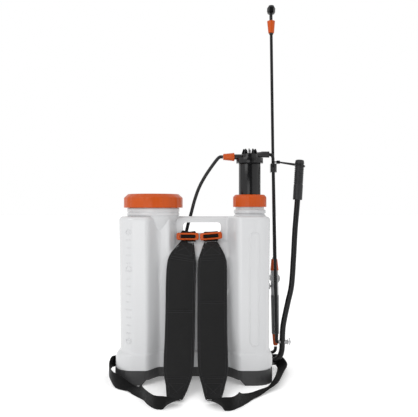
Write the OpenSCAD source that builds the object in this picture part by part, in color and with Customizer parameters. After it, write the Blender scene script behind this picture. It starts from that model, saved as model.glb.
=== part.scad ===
// Knapsack sprayer: a blow-moulded tank that is carried on the back, a lever pump with an air
// chamber, a spray lance and two padded shoulder straps.
// -Y faces the wearer's back, +X is the lever side, +Z is up, and z = 0 is the ground.

/* [Tank] */
// Width across the shoulders
tank_w = 387; // [384:1:390]
// Width just above the bottom bulge
waist_w = 380; // [376:1:384]
// Width of the bottom bulge and of the base
bulge_w = 396; // [392:1:398]
// Depth, front to back
tank_d = 176; // [172:1:178]
// Height of the top above the ground
shoulder_z = 414; // [410:1:416]
// Radius of the upright corners
corner_r = 45; // [35:1:50]
// How far the middle of the wearer's side lies behind the two side lobes
lobe_depth = 36; // [30:1:38]
// Wall thickness
wall = 3.6; // [3:0.1:4]

/* [Carrying handle] */
// Centre of the hand hole, across the tank
window_x = 20; // [18:1:22]
// Width of the hand hole
window_w = 98; // [90:1:100]
// Lower edge of the hand hole
window_z = 371; // [370:1:373]
// Height of the hand hole
window_h = 27; // [25:1:28]
// Thickness of the web that the hand hole goes through
web_t = 28; // [26:1:30]

/* [Filler] */
// Centre of the filler, across the tank
filler_x = -106; // [-108:1:-104]
// Outer diameter of the filler neck
filler_d = 124; // [120:1:124]
// Diameter of the lid
lid_d = 152; // [148:1:154]
// Height of the lid
lid_h = 36; // [34:1:38]
// Depth of the strainer basket
basket_h = 116; // [90:1:120]
// Diameter of the strainer basket
basket_d = 92; // [80:1:92]

/* [Pump] */
// Centre of the pump, across the tank
pump_x = 145; // [144:1:146]
// Centre of the pump, front to back
pump_y = 12; // [10:1:14]
// Outer diameter of the pump neck
pump_neck_d = 74; // [73:0.5:75]
// Diameter of the collar that holds the pump down
collar_d = 87; // [84:1:90]
// Diameter of the air chamber
chamber_d = 57; // [56:0.2:57.2]
// Bore of the pump barrel
barrel_bore = 40; // [38:1:42]

/* [Lever and link] */
// Lever shaft, front to back
shaft_y = 40; // [39:1:41]
// Height of the lever shaft
shaft_z = 28; // [27.5:0.5:28.5]
// Diameter of the lever tube
lever_d = 15; // [14:0.5:15]
// Wall of the lever tube
lever_t = 1.5; // [1.2:0.1:2]
// From the lever shaft to the crank pin
crank_r = 50; // [49:1:51]
// From the crank pin to the pivot in the pump arm
link_l = 500; // [498:1:502]
// Diameter of the link rod
link_d = 8.6; // [8:0.2:8.6]
// Diameter of the lever grip
grip_d = 25; // [22:1:26]

/* [Lance] */
// Foot of the lance, across
lance_x = 218.6; // [218:0.2:219]
// Foot of the lance, front to back
lance_y = 63; // [62:0.5:64]
// Height of the foot of the lance
lance_z = 64; // [63:1:65]
// Lean of the lance towards the tank, in degrees
lance_lean = 0.79; // [0.7:0.01:0.9]
// Diameter of the wand tube
wand_d = 8; // [7:0.2:8]

/* [Straps] */
// Width of the shoulder pads
pad_w = 71; // [66:1:72]
// Thickness of the shoulder pads
pad_t = 12; // [8:1:12]
// Width of the webbing
web_w = 30; // [25:1:32]
// Thickness of the webbing
web_thick = 1.6; // [1.2:0.1:2]

/* [Hose] */
// Outer diameter of the spray hose
hose_d = 8.8; // [8:0.2:9]

/* [Hidden] */
$fn = 48;
white = [0.90, 0.91, 0.92];
orange = [0.86, 0.33, 0.09];
black = [0.10, 0.10, 0.11];
dark_grey = [0.28, 0.28, 0.29];
light_grey = [0.60, 0.60, 0.60];
steel = [0.72, 0.73, 0.75];
rubber = [0.06, 0.06, 0.06];

// Gap between two faces that move past each other, and between parts that are only close
run_gap = 0.1;
part_gap = 0.3;

// Tank
tank_bottom = 36.6;
bulge_top_z = 58;
waist_z = 70;
slope_low_z = 310;
slope_high_z = 350;
front_slope = tank_d / 2 - lobe_depth - web_t / 2;
rear_slope = tank_d / 2 - web_t / 2;
front_steps = 28;
rear_steps = 20;
corner_steps = 5;
lobe_inner = 84;
lobe_outer = 118;
saddle_left = -64;
saddle_right = 106;
saddle_run = 20;
floor_z = 41;
shoulder_t = 5;
boss_xy = [[-150, -50], [150, -50], [-150, 55], [120, 62]];
boss_r = 7;
boss_top = 50;
screw_d = 4;
screw_top = 47;

// Filler, lid and strainer
filler_bore = filler_d - 10;
filler_ring_z = 424;
lid_z = 436;
filler_top = 462;
strainer_flange_t = 2.6;
lid_gasket_t = 2.4;
lid_skirt_bore = filler_d + 2.4;

// Pump
pump_neck_bore = 67;
pump_ring_z = 421;
collar_z = 438;
collar_h = 32;
pump_neck_top = 455;
pump_gasket_t = 1.5;
cylinder_flange_t = 3.5;
stage_d = 66;
stage_bore = 60;
stage_floor = 366;
barrel_d = barrel_bore + 6;
barrel_foot = 108;
chamber_low = 424;
chamber_high = 552;
piston_low = 162;
piston_h = 22;
seal_z = chamber_high - 8;
outlet_z = 569;

// Link and lever. The pump arm's pivot is straight above the lever shaft.
crank_z = shaft_z + crank_r;
pivot_z = crank_z + link_l;
arm_r = 8.3;
arm_end_x = 199;
link_top_x = 209;
link_low_x = 219;
elbow_end_x = 223.4;
bush_x = [224.6, 247.5];
sleeve_z = [531, 554];
shaft_in_x = 60;
shaft_out_x = 205;
bush_w = 12;
bush_in_x = 75;
bush_out_x = 184;
grip_low = [274.5, 457];
grip_high = [280.8, 564.5];

// The lever's line outside the base, as [x, z]
lever_line = [
    [shaft_out_x - 1, shaft_z], [214, 29.5], [223, 34.5], [229.5, 44], [232.8, 57], [233.8, 72],
    [234.4, 94], [236, 118], [240, 142], [249.5, 186], [258.8, 230], [264, 303], [268, 377],
    [274.5, 457], [280.2, 554]
];

// Lance
valve_low = 136;
valve_high = 203;
pin_h = 160;
trigger_pivot = [20, 190];
nozzle_nut_h = 845;

// The hose runs from the pump head, behind the handle, down the back of the tank and along the
// ground behind it, and up to the foot of the lance
hose_points = [
    [75.2, 12, 569], [68, 12, 569], [61, 12.4, 564], [47, 14, 546], [28, 17, 518], [12, 19, 488],
    [0, 21, 454], [-9, 25, 420], [-16, 30, 396], [-22, 36, 371], [-26, 47, 350], [-28, 73, 331],
    [-30, 96, 310], [-31, 102, 280], [-31, 102, 220], [-30, 101, 150], [-28, 101, 90],
    [-22, 103, 48], [-6, 106, 17], [24, 112, 5], [75, 117, 4.6], [125, 118, 5], [160, 114, 11],
    [183, 104, 24], [202, 88, 36], [213, 73, 43], [217.6, 65.4, 50],
    [218.6, 63.2, 56], [218.6, 63, 60]
];
hose_steps = 2;

// The pads, as [y, z, share of the full width, share of the full thickness]
pad_line = [
    [-24.6, 348.8, 0.44, 0.3], [-32, 342.5, 0.58, 0.5], [-47, 332, 0.72, 0.6], [-58.5, 319, 0.86, 0.8],
    [-64, 303, 0.97, 1], [-66, 280, 1, 1], [-67, 240, 1, 1], [-69, 190, 1, 1], [-74, 150, 1, 1],
    [-86, 112, 1, 1], [-105, 78, 1, 1], [-131, 47, 0.95, 1], [-160, 24, 0.78, 0.9],
    [-190, 12, 0.62, 0.8], [-214, 8, 0.5, 0.6]
];
left_pad_x = [-16, -18.5, -22, -25.5, -28.5, -30.5, -32, -32.5, -33, -33.5, -34, -34, -35, -37, -38];
right_pad_x = [43.5, 44, 45, 46, 46.5, 46.5, 46.5, 46.5, 46.5, 47, 47.5, 48.5, 49, 48.5, 48];

// The lower webbing, as [centre, direction of its width]. It lies flat at the pad, stands on its
// edge on the ground, turns flat once more and rises beside the base.
left_tail_line = [
    [[-38.5, -217, 7.8], [1, 0, 0]], [[-45, -240, 10], [0.9, -0.3, 0.6]], [[-60, -257, 15.3], [0.2, 0, 1]],
    [[-79, -252, 15.3], [0, 0, 1]], [[-97, -225, 15.3], [0, 0, 1]], [[-112, -192, 15.3], [0, 0, 1]],
    [[-126, -160, 12.5], [0.5, 0.3, 0.8]], [[-141, -130, 6], [0.8, 0.6, 0.2]],
    [[-158, -115, 6], [0.5, 0.8, 0.3]], [[-180, -104, 14], [0.2, 0.4, 0.8]],
    [[-199, -84, 21], [0, 0, 1]], [[-212, -50, 27], [0, 0, 1]], [[-216, -12, 31], [0, 0, 1]],
    [[-216, 18, 31], [0, 0, 1]], [[-213, 36, 28], [0, 0, 1]], [[-206, 43, 28], [0, 0, 1]]
];
right_tail_line = [
    [[48, -217, 7.8], [1, 0, 0]], [[55, -242, 10], [0.9, 0.4, -0.6]],
    [[70, -264, 15.3], [0.2, 0, -1]], [[88, -262, 15.3], [0, 0, -1]],
    [[103, -242, 15.3], [0, 0, -1]], [[114, -214, 13.5], [0.5, -0.2, -0.9]],
    [[126, -187, 5], [0.86, -0.5, -0.2]], [[146, -160, 3], [0.8, -0.6, 0]],
    [[168, -134, 5], [0.84, -0.55, 0.25]], [[192, -106, 8], [0.8, -0.4, 0.45]],
    [[210, -54, 9.4], [0.75, -0.35, 0.57]], [[222, -10, 9.4], [0.75, -0.3, 0.57]],
    [[232, 32, 8.4], [0.85, -0.2, 0.45]], [[236, 62, 11], [0.85, 0, 0.5]],
    [[226, 78, 20], [0.3, 0.2, 0.9]], [[207, 77, 21], [0, 0, 1]]
];
tie_z = 549;
tie_head = [222, 557.5];

// ---- Shared shapes ----

// A soft step from 0 to 1
function soft_step(t) = let (c = min(max(t, 0), 1)) c * c * (3 - 2 * c);

// 1 between the two lobes of the wearer's side, 0 at the lobes
function between_lobes(x) = soft_step((lobe_outer - abs(x)) / (lobe_outer - lobe_inner));

// 1 along the web with the hand hole, 0 at the filler and the pump
function along_web(x) = soft_step((x - saddle_left) / saddle_run) * soft_step((saddle_right - x) / saddle_run);

// A quarter circle of the plan, without its first point
function corner(x, y, r, start) = [
    for (i = [1:corner_steps - 1])
        let (a = start + 90 * i / corner_steps)
            [x + r * cos(a), y + r * sin(a)]
];

// The tank seen from above: half width a, half depth b, corner radius r, and how far the web is
// set back at the front and the rear
function plan(a, b, r, front_back = 0, rear_back = 0) = concat(
    [for (i = [0:front_steps])
        let (x = (a - r) * (2 * i / front_steps - 1))
            [x, -b + lobe_depth * between_lobes(x) + front_back * along_web(x)]],
    corner(a - r, r - b, r, -90),
    [[a, r - b], [a, b - r]],
    corner(a - r, b - r, r, 0),
    [for (i = [0:rear_steps])
        let (x = (a - r) * (1 - 2 * i / rear_steps))
            [x, b - rear_back * along_web(x)]],
    corner(r - a, b - r, r, 90),
    [[-a, b - r], [-a, r - b]],
    corner(r - a, r - b, r, 180)
);

// A closed skin over a row of rings with equal numbers of points. From the side numbered turned
// on, the squares are split along their other diagonal.
module skin(rings, turned = 1000) {
    n = len(rings[0]);
    last = len(rings) - 1;
    sides = [
        for (k = [0:last - 1], i = [0:n - 1])
            let (
                a = k * n + i,
                b = k * n + (i + 1) % n,
                c = a + n,
                d = b + n
            )
                each (i < turned ? [[a, c, d], [a, d, b]] : [[a, c, b], [c, d, b]])
    ];
    ends = [[for (i = [0:n - 1]) i], [for (i = [n - 1:-1:0]) last * n + i]];
    polyhedron([for (ring = rings) each ring], concat(sides, ends), convexity = 10);
}

function unit(v) = v / norm(v);

// Direction of a path at its point i
function heading(path, i) = unit(path[min(i + 1, len(path) - 1)] - path[max(i - 1, 0)]);

// A smooth path through the points, with some steps between each two
function smooth_path(p, steps) = concat(
    [for (i = [0:len(p) - 2], j = [0:steps - 1])
        let (
            a = p[max(i - 1, 0)],
            b = p[i],
            c = p[i + 1],
            d = p[min(i + 2, len(p) - 1)],
            t = j / steps
        )
            b + ((c - a) * t + (2 * a - 5 * b + 4 * c - d) * t * t + (3 * b - a - 3 * c + d) * t * t * t) / 2],
    [p[len(p) - 1]]
);

// A round tube along a path that never runs front to back
module tube(path, r, sides) {
    skin([
        for (i = [0:len(path) - 1])
            let (
                t = heading(path, i),
                u = unit(cross([0, 1, 0], t)),
                v = cross(t, u)
            )
                [for (k = [0:sides - 1]) path[i] + r * (cos(360 * k / sides) * u + sin(360 * k / sides) * v)]
    ]);
}

// A flat band along a path. Each stop is [centre, direction of the width, width, thickness].
module band(stops, edge) {
    path = [for (s = stops) s[0]];
    skin([
        for (i = [0:len(stops) - 1])
            let (
                t = heading(path, i),
                u = unit(stops[i][1] - (stops[i][1] * t) * t),
                v = cross(t, u),
                w = stops[i][2] / 2,
                h = stops[i][3] / 2,
                e = edge * h
            )
                [for (q = [
                    [w, -h + e], [w, h - e], [w - e, h], [-w + e, h],
                    [-w, h - e], [-w, -h + e], [-w + e, -h], [w - e, -h]
                ]) path[i] + q[0] * u + q[1] * v]
    ], 4);
}

// A round bar from one point to another
module bar(from, to, r) {
    v = to - from;
    translate(from)
        rotate([0, acos(v[2] / norm(v)), atan2(v[1], v[0])])
            cylinder(r = r, h = norm(v));
}

// A round bar along X between two places on the line (y, z)
module x_bar(x0, x1, y, z, r) {
    translate([x0, y, z])
        rotate([0, 90, 0])
            cylinder(r = r, h = x1 - x0);
}

// A ring that stands on z
module ring(z, h, outer_d, inner_d) {
    translate([0, 0, z])
        difference() {
            cylinder(d = outer_d, h = h);
            translate([0, 0, -1])
                cylinder(d = inner_d, h = h + 2);
        }
}

module at_filler() { translate([filler_x, 0, 0]) children(); }

module at_pump() { translate([pump_x, pump_y, 0]) children(); }

// The lance's own frame: its foot at the origin and its axis along z
module at_lance() { translate([lance_x, lance_y, lance_z]) rotate([0, -lance_lean, 0]) children(); }

// ---- Tank and base ----

module tank_skin() {
    stations = [
        [tank_bottom, bulge_w, 2, 0], [tank_bottom + 3, bulge_w, 0, 0], [bulge_top_z, bulge_w, 0, 0],
        [bulge_top_z + 5, (bulge_w + waist_w) / 2, 0, 0], [waist_z, waist_w, 1, 0],
        [slope_low_z, (waist_w + tank_w) / 2, 0, 0], [320, tank_w - 4, 0, 0.16],
        [330, tank_w - 3, 0, 0.5], [340, tank_w - 3, 0, 0.84], [slope_high_z, tank_w - 2, 0, 1],
        [shoulder_z - 14, tank_w, 0, 1], [shoulder_z - 6, tank_w, 1.5, 1],
        [shoulder_z - 2, tank_w, 4.5, 1], [shoulder_z, tank_w, 9, 1]
    ];
    skin([
        for (s = stations)
            let (outline = plan(s[1] / 2 - s[2], tank_d / 2 - s[2], corner_r - s[2], front_slope * s[3], rear_slope * s[3]))
                [for (p = outline) [p[0], p[1], s[0]]]
    ]);
}

module tank_hollow() {
    inner = plan(waist_w / 2 - wall, tank_d / 2 - wall, corner_r - wall);
    left_x = filler_x + filler_d / 2 - 14;
    right_x = pump_x - pump_neck_d / 2 - 2;
    difference() {
        translate([0, 0, floor_z])
            linear_extrude(slope_low_z - wall - floor_z)
                polygon(inner);
        x_bar(0, 250, shaft_y, shaft_z, 15.5);
        for (p = boss_xy)
            translate([p[0], p[1], 0])
                cylinder(r = boss_r, h = boss_top);
    }
    intersection() {
        translate([0, 0, slope_low_z - wall - 1])
            linear_extrude(shoulder_z - shoulder_t - slope_low_z + wall + 1)
                polygon(inner);
        union() {
            translate([-tank_w, -tank_d, 0])
                cube([tank_w + left_x, 2 * tank_d, shoulder_z]);
            translate([right_x, -tank_d, 0])
                cube([tank_w, 2 * tank_d, shoulder_z]);
        }
    }
}

module hand_hole() {
    r = 9;
    translate([window_x, tank_d, window_z + window_h / 2])
        rotate([90, 0, 0])
            linear_extrude(2 * tank_d)
                union() {
                    square([window_w - 2 * r, window_h], center = true);
                    square([window_w, window_h - 2 * r], center = true);
                    for (x = [-1, 1], y = [-1, 1])
                        translate([x * (window_w / 2 - r), y * (window_h / 2 - r)])
                            circle(r = r);
                }
}

module tank() {
    color(white)
        difference() {
            union() {
                difference() {
                    tank_skin();
                    tank_hollow();
                }
                at_filler() {
                    translate([0, 0, shoulder_z - 14])
                        cylinder(d = filler_d, h = filler_top - shoulder_z + 14);
                    translate([0, 0, filler_ring_z])
                        cylinder(d = filler_d + 11, h = lid_z - filler_ring_z - part_gap);
                }
                at_pump() {
                    translate([0, 0, shoulder_z - 4])
                        cylinder(d = pump_neck_d, h = pump_neck_top - shoulder_z + 4);
                    translate([0, 0, pump_ring_z])
                        cylinder(d = pump_neck_d + 9, h = 10);
                }
            }
            hand_hole();
            at_filler()
                translate([0, 0, shoulder_z - 16])
                    cylinder(d = filler_bore, h = 100);
            at_pump()
                translate([0, 0, shoulder_z - 16])
                    cylinder(d = pump_neck_bore, h = 100);
            x_bar(shaft_in_x - 4, 250, shaft_y, shaft_z, 12);
            for (p = boss_xy)
                translate([p[0], p[1], 0])
                    cylinder(d = screw_d, h = screw_top);
        }
}

module base() {
    skirt_t = 5;
    deck_z = 31.6;
    arch_h = 13;
    arch_x = 128;
    saddle_w = 16;
    color(dark_grey)
        difference() {
            union() {
                difference() {
                    linear_extrude(tank_bottom)
                        polygon(plan(bulge_w / 2, tank_d / 2, corner_r));
                    translate([0, 0, -1])
                        linear_extrude(deck_z + 1)
                            polygon(plan(bulge_w / 2 - skirt_t, tank_d / 2 - skirt_t, corner_r - skirt_t));
                    translate([0, -40, 0])
                        rotate([90, 0, 0])
                            linear_extrude(100)
                                polygon([[-arch_x, -1], [arch_h - arch_x, arch_h], [arch_x - arch_h, arch_h], [arch_x, -1]]);
                }
                // Saddles that carry the two bushes of the lever shaft
                for (x = [bush_in_x - 2, bush_out_x - 4])
                    translate([x, shaft_y - 16, 6])
                        cube([saddle_w, 32, deck_z - 5]);
                // Cross ribs under the deck
                for (x = [-140, -50, 50])
                    translate([x - 1.5, -45, 14])
                        cube([3, 125, deck_z - 13]);
            }
            // Slot in the deck for the shaft, and the seats of its bushes
            translate([shaft_in_x - 4, shaft_y - 9, 20])
                cube([bush_in_x - shaft_in_x + 3.5, 18, 20]);
            translate([bush_in_x + bush_w + 0.5, shaft_y - 9, 14])
                cube([bush_out_x - bush_in_x - bush_w - 1, 18, 26]);
            x_bar(bush_in_x - 0.5, bush_in_x + bush_w + 0.5, shaft_y, shaft_z, 10);
            x_bar(bush_out_x - 0.5, bush_out_x + 40, shaft_y, shaft_z, 10);
            for (p = boss_xy)
                translate([p[0], p[1], 0])
                    cylinder(d = screw_d + 0.6, h = 60);
        }
}

module base_screws() {
    color(steel)
        for (p = boss_xy)
            translate([p[0], p[1], 0]) {
                translate([0, 0, 28.6])
                    cylinder(d = 8, h = 3);
                translate([0, 0, 31])
                    cylinder(d = screw_d - 0.1, h = screw_top - 31.5);
            }
}

module shaft_bushes() {
    color(white)
        for (x = [bush_in_x, bush_out_x])
            difference() {
                x_bar(x, x + bush_w, shaft_y, shaft_z, 10 - run_gap);
                x_bar(x - 1, x + bush_w + 1, shaft_y, shaft_z, lever_d / 2 + run_gap);
            }
}

// ---- Filler ----

module strainer() {
    rim_z = filler_top;
    color(black)
        at_filler()
            difference() {
                union() {
                    translate([0, 0, rim_z])
                        cylinder(d = filler_d - 1, h = strainer_flange_t);
                    translate([0, 0, rim_z - basket_h])
                        cylinder(d1 = basket_d - 6, d2 = basket_d, h = basket_h);
                }
                translate([0, 0, rim_z - basket_h + 2])
                    cylinder(d1 = basket_d - 10, d2 = basket_d - 4, h = basket_h + 10);
                // Slots round the side, open through the wall
                for (a = [0:30:150])
                    rotate([0, 0, a])
                        translate([-basket_d, -8, rim_z - basket_h + 12])
                            cube([2 * basket_d, 16, basket_h - 34]);
            }
}

module lid() {
    groove_n = 24;
    color(orange)
        at_filler()
            difference() {
                union() {
                    translate([0, 0, lid_z])
                        cylinder(d = lid_d, h = lid_h - 11);
                    translate([0, 0, lid_z + lid_h - 11])
                        cylinder(d1 = lid_d, d2 = lid_d - 18, h = 9);
                    translate([0, 0, lid_z + lid_h - 2])
                        cylinder(d1 = lid_d - 18, d2 = lid_d - 26, h = 2);
                }
                translate([0, 0, lid_z - 1])
                    cylinder(d = lid_skirt_bore, h = filler_top + strainer_flange_t + lid_gasket_t - lid_z + 1);
                // Finger flats round the rim
                for (i = [0:groove_n - 1])
                    rotate([0, 0, 360 / groove_n * (i + 0.5)])
                        translate([lid_d / 2 + 1.6, 0, lid_z + 4])
                            cylinder(r = 3, h = lid_h);
                translate([30, 0, lid_z])
                    cylinder(d = 9, h = lid_h + 1);
            }
}

module lid_gasket() {
    color(rubber)
        at_filler()
            ring(filler_top + strainer_flange_t, lid_gasket_t - 0.05, filler_d - 1, filler_bore - 2);
}

module lid_vent_valve() {
    seat_z = filler_top + strainer_flange_t + lid_gasket_t;
    color(rubber)
        at_filler()
            translate([30, 0, 0]) {
                translate([0, 0, seat_z - 6])
                    cylinder(d1 = 5, d2 = 12, h = 6);
                translate([0, 0, seat_z])
                    cylinder(d = 8.8, h = lid_z + lid_h - 1 - seat_z);
            }
}

// ---- Pump, fixed pieces ----

module pump_cylinder() {
    flange_z = pump_neck_top + pump_gasket_t;
    color(white)
        at_pump()
            difference() {
                union() {
                    translate([0, 0, flange_z])
                        cylinder(d = pump_neck_d - 1, h = cylinder_flange_t);
                    translate([0, 0, stage_floor])
                        cylinder(d = stage_d, h = flange_z - stage_floor + 1);
                    translate([0, 0, barrel_foot])
                        cylinder(d = barrel_d, h = stage_floor - barrel_foot + 1);
                }
                translate([0, 0, stage_floor + 4])
                    cylinder(d = stage_bore, h = 200);
                translate([0, 0, barrel_foot + 5])
                    cylinder(d = barrel_bore, h = 400);
                translate([0, 0, barrel_foot - 1])
                    cylinder(d = 22, h = 20);
            }
}

module pump_gasket() {
    color(rubber)
        at_pump()
            ring(pump_neck_top, pump_gasket_t, pump_neck_d - 1, pump_neck_bore);
}

module pump_collar() {
    rib_n = 28;
    top_z = collar_z + collar_h;
    color(orange)
        at_pump()
            difference() {
                union() {
                    translate([0, 0, collar_z])
                        cylinder(d = collar_d, h = collar_h - 6);
                    translate([0, 0, top_z - 6])
                        cylinder(d1 = collar_d, d2 = collar_d - 12, h = 6);
                }
                translate([0, 0, collar_z - 1])
                    cylinder(d = pump_neck_d + 1, h = pump_neck_top + pump_gasket_t + cylinder_flange_t - collar_z + 1.1);
                translate([0, 0, collar_z])
                    cylinder(d = chamber_d + 1.6, h = collar_h + 1);
                for (i = [0:rib_n - 1])
                    rotate([0, 0, 360 / rib_n * i])
                        translate([collar_d / 2 + 0.8, 0, collar_z + 3])
                            cylinder(r = 1.8, h = collar_h);
            }
}

module chamber_guide() {
    color(white)
        at_pump()
            ring(441, 15, stage_bore - 0.2, chamber_d + 2 * part_gap);
}

module inlet_valve_seat() {
    color(black)
        at_pump()
            difference() {
                union() {
                    translate([0, 0, barrel_foot - 12])
                        cylinder(d = 34, h = 12 - 0.05);
                    translate([0, 0, barrel_foot - 1])
                        cylinder(d = 21.8, h = 6);
                }
                translate([0, 0, barrel_foot - 13])
                    cylinder(d = 9, h = 20);
                translate([0, 0, barrel_foot - 4])
                    cylinder(d = 15, h = 12);
                translate([0, 0, barrel_foot - 13])
                    cylinder(d = 26, h = 5);
            }
}

module inlet_ball() {
    color(steel)
        at_pump()
            translate([0, 0, barrel_foot - 0.75])
                sphere(d = 11);
}

module intake_strainer() {
    color(black)
        at_pump()
            difference() {
                translate([0, 0, 70])
                    cylinder(d = 34, h = barrel_foot - 12 - 70 - 0.05);
                translate([0, 0, 73])
                    cylinder(d = 30, h = 40);
                for (a = [0:30:150], z = [76, 84])
                    rotate([0, 0, a])
                        translate([-20, -2.5, z])
                            cube([40, 5, 6]);
            }
}

// ---- Pump, moving pieces ----

module air_chamber() {
    color(black)
        at_pump()
            difference() {
                translate([0, 0, chamber_low])
                    cylinder(d = chamber_d, h = chamber_high - chamber_low);
                translate([0, 0, chamber_low + 4])
                    cylinder(d = chamber_d - 6, h = 200);
                translate([0, 0, chamber_low - 1])
                    cylinder(d = 16, h = 6);
            }
}

module pump_head() {
    flange_d = 70;
    fin_n = 10;
    dome_z = 565.5;
    color(black)
        difference() {
            union() {
                at_pump() {
                    translate([0, 0, chamber_high + 0.05])
                        cylinder(d = flange_d, h = dome_z - chamber_high);
                    translate([0, 0, chamber_high - 14])
                        cylinder(d = chamber_d - 6.4, h = 16);
                    // Ears on the rim
                    for (a = [20, 110, 200, 290])
                        rotate([0, 0, a])
                            translate([flange_d / 2 - 3, 0, 556])
                                cylinder(d = 9, h = 6);
                    translate([0, 0, dome_z])
                        cylinder(d1 = 46, d2 = 43, h = 10.5);
                    // Crown of upright fins
                    for (i = [0:fin_n - 1])
                        rotate([0, 0, 360 / fin_n * i + 9])
                            translate([12.5, 0, 576])
                                rotate([90, 0, 0])
                                    translate([0, 0, -1.4])
                                        linear_extrude(2.8)
                                            polygon([[-10, -1], [9, -1], [8, 4], [4.5, 13.5], [2.5, 13.5], [-2, 3], [-10, 2]]);
                }
                x_bar(97, pump_x, pump_y, outlet_z, 7);
                // Arm to the link's pivot
                bar([pump_x, pump_y, 571], [184, shaft_y, pivot_z], 8);
                x_bar(178, arm_end_x, shaft_y, pivot_z, arm_r);
            }
            // Groove of the seal
            at_pump()
                ring(seal_z - 1.5, 3, chamber_d, chamber_d - 12.1);
            x_bar(182, arm_end_x + 1, shaft_y, pivot_z, link_d / 2 + run_gap);
            x_bar(90, pump_x, pump_y, outlet_z, 3.5);
            at_pump()
                translate([0, 0, 530])
                    cylinder(d = 7, h = outlet_z - 530);
        }
}

module head_seal() {
    color(rubber)
        at_pump()
            translate([0, 0, seal_z])
                rotate_extrude()
                    translate([(chamber_d - 6) / 2 - 1.5, 0])
                        circle(r = 1.4);
}

module piston_tube() {
    color(white)
        at_pump()
            ring(piston_low + piston_h, chamber_low + 3 - piston_low - piston_h, 15.9, 9);
}

module piston() {
    color(white)
        at_pump()
            difference() {
                translate([0, 0, piston_low])
                    cylinder(d = barrel_bore - 2, h = piston_h);
                translate([0, 0, piston_low - 1])
                    cylinder(d = 7, h = 40);
                translate([0, 0, piston_low + 9])
                    cylinder(d = 13, h = piston_h);
                translate([0, 0, piston_low + 4])
                    difference() {
                        cylinder(d = 60, h = 7);
                        translate([0, 0, -1])
                            cylinder(d = 30, h = 9);
                    }
            }
}

module piston_cup() {
    color(rubber)
        at_pump()
            ring(piston_low + 4.05, 6.9, barrel_bore - 2 * part_gap, 30.1);
}

module outlet_ball() {
    color(steel)
        at_pump()
            translate([0, 0, piston_low + 12.65])
                sphere(d = 10);
}

module outlet_nut() {
    color(orange)
        difference() {
            translate([75.7, pump_y, outlet_z])
                rotate([0, 90, 0])
                    cylinder(d1 = 16, d2 = 21.6, h = 29);
            x_bar(84, 110, pump_y, outlet_z, 7.1);
            x_bar(70, 90, pump_y, outlet_z, 2.6);
            for (i = [0:11])
                translate([0, pump_y, outlet_z])
                    rotate([30 * i, 0, 0])
                        translate([80, 11.6, 0])
                            rotate([0, 90, 0])
                                cylinder(r = 1.6, h = 40);
        }
}

module outlet_hose_tail() {
    color(steel)
        difference() {
            union() {
                x_bar(76, 104, pump_y, outlet_z, 2.5);
                x_bar(92, 96, pump_y, outlet_z, 6.9);
            }
            x_bar(70, 110, pump_y, outlet_z, 1.6);
        }
}

// ---- Link and lever ----

module link_rod() {
    r = link_d / 2;
    top = [link_top_x, shaft_y, pivot_z];
    low = [link_low_x, shaft_y, crank_z];
    color(black) {
        x_bar(184, link_top_x, shaft_y, pivot_z, r);
        translate(top)
            sphere(r = r);
        bar(low, top, r);
        translate(low)
            sphere(r = r);
        x_bar(link_low_x, elbow_end_x, shaft_y, crank_z, r);
    }
}

// Sleeve on the link rod. Its two jaws hold the wand and are open at the rear.
module lance_clip() {
    low = [link_low_x, shaft_y, crank_z];
    top = [link_top_x, shaft_y, pivot_z];
    wand_x = lance_x - (sleeve_z[0] - lance_z + 12) * tan(lance_lean);
    jaw_gap = wand_d + 2.4;
    jaw_t = 2.6;
    neck_y = shaft_y + 6;
    h = sleeve_z[1] - sleeve_z[0];
    color(black)
        difference() {
            union() {
                translate([link_top_x + 1, shaft_y, sleeve_z[0]])
                    cylinder(r = 7.2, h = h);
                translate([wand_x - 4, shaft_y, sleeve_z[0]])
                    cube([8, 10, h]);
                translate([wand_x - jaw_gap / 2 - jaw_t, neck_y, sleeve_z[0]])
                    cube([jaw_gap + 2 * jaw_t, lance_y + 7 - neck_y, h]);
            }
            translate([wand_x - jaw_gap / 2, lance_y - wand_d / 2 - 1.2, sleeve_z[0] - 1])
                cube([jaw_gap, 40, h + 2]);
            bar(low, top, link_d / 2 + 0.02);
        }
}

module lever_tube() {
    path = smooth_path([for (p = lever_line) [p[0], shaft_y, p[1]]], 2);
    color(black)
        difference() {
            union() {
                x_bar(shaft_in_x, shaft_out_x, shaft_y, shaft_z, lever_d / 2);
                tube(path, lever_d / 2, 16);
            }
            tube(path, lever_d / 2 - lever_t, 8);
            x_bar(220, 250, shaft_y, crank_z, 5.6);
            translate([shaft_in_x + 4.5, shaft_y, shaft_z - 20])
                cylinder(d = 3.2, h = 40);
        }
}

// A point on the grip's axis, h up from its lower end
function grip_at(h) =
    let (low = [grip_low[0], shaft_y, grip_low[1]], high = [grip_high[0], shaft_y, grip_high[1]])
        low + h * unit(high - low);

module lever_grip() {
    rib_n = 11;
    length = norm(grip_high - grip_low);
    color(black)
        difference() {
            union() {
                bar(grip_at(0), grip_at(length), grip_d / 2 - 0.6);
                bar(grip_at(0), grip_at(40), grip_d / 2);
                for (i = [0:rib_n - 1])
                    bar(grip_at(44 + i * 5.7), grip_at(47.4 + i * 5.7), grip_d / 2);
            }
            bar(grip_at(-1), grip_at(length - 6), lever_d / 2 + 0.6);
        }
}

module crank_bush() {
    color(light_grey)
        difference() {
            x_bar(bush_x[0], bush_x[1], shaft_y, crank_z, 5.5);
            x_bar(220, 260, shaft_y, crank_z, 3.55);
        }
}

module crank_pin() {
    color(steel)
        difference() {
            x_bar(elbow_end_x + 0.4, 257, shaft_y, crank_z, 3.5);
            translate([253.5, shaft_y, crank_z - 10])
                cylinder(d = 2.4, h = 20);
        }
}

module crank_pin_clip() {
    color(steel) {
        difference() {
            x_bar(bush_x[1] + 0.1, bush_x[1] + 1.9, shaft_y, crank_z, 7);
            x_bar(240, 260, shaft_y, crank_z, 3.6);
        }
        translate([253.5, shaft_y, crank_z - 8])
            cylinder(d = 2.2, h = 16);
        translate([253.5, shaft_y, crank_z + 8])
            sphere(d = 4.4);
    }
}

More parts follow.
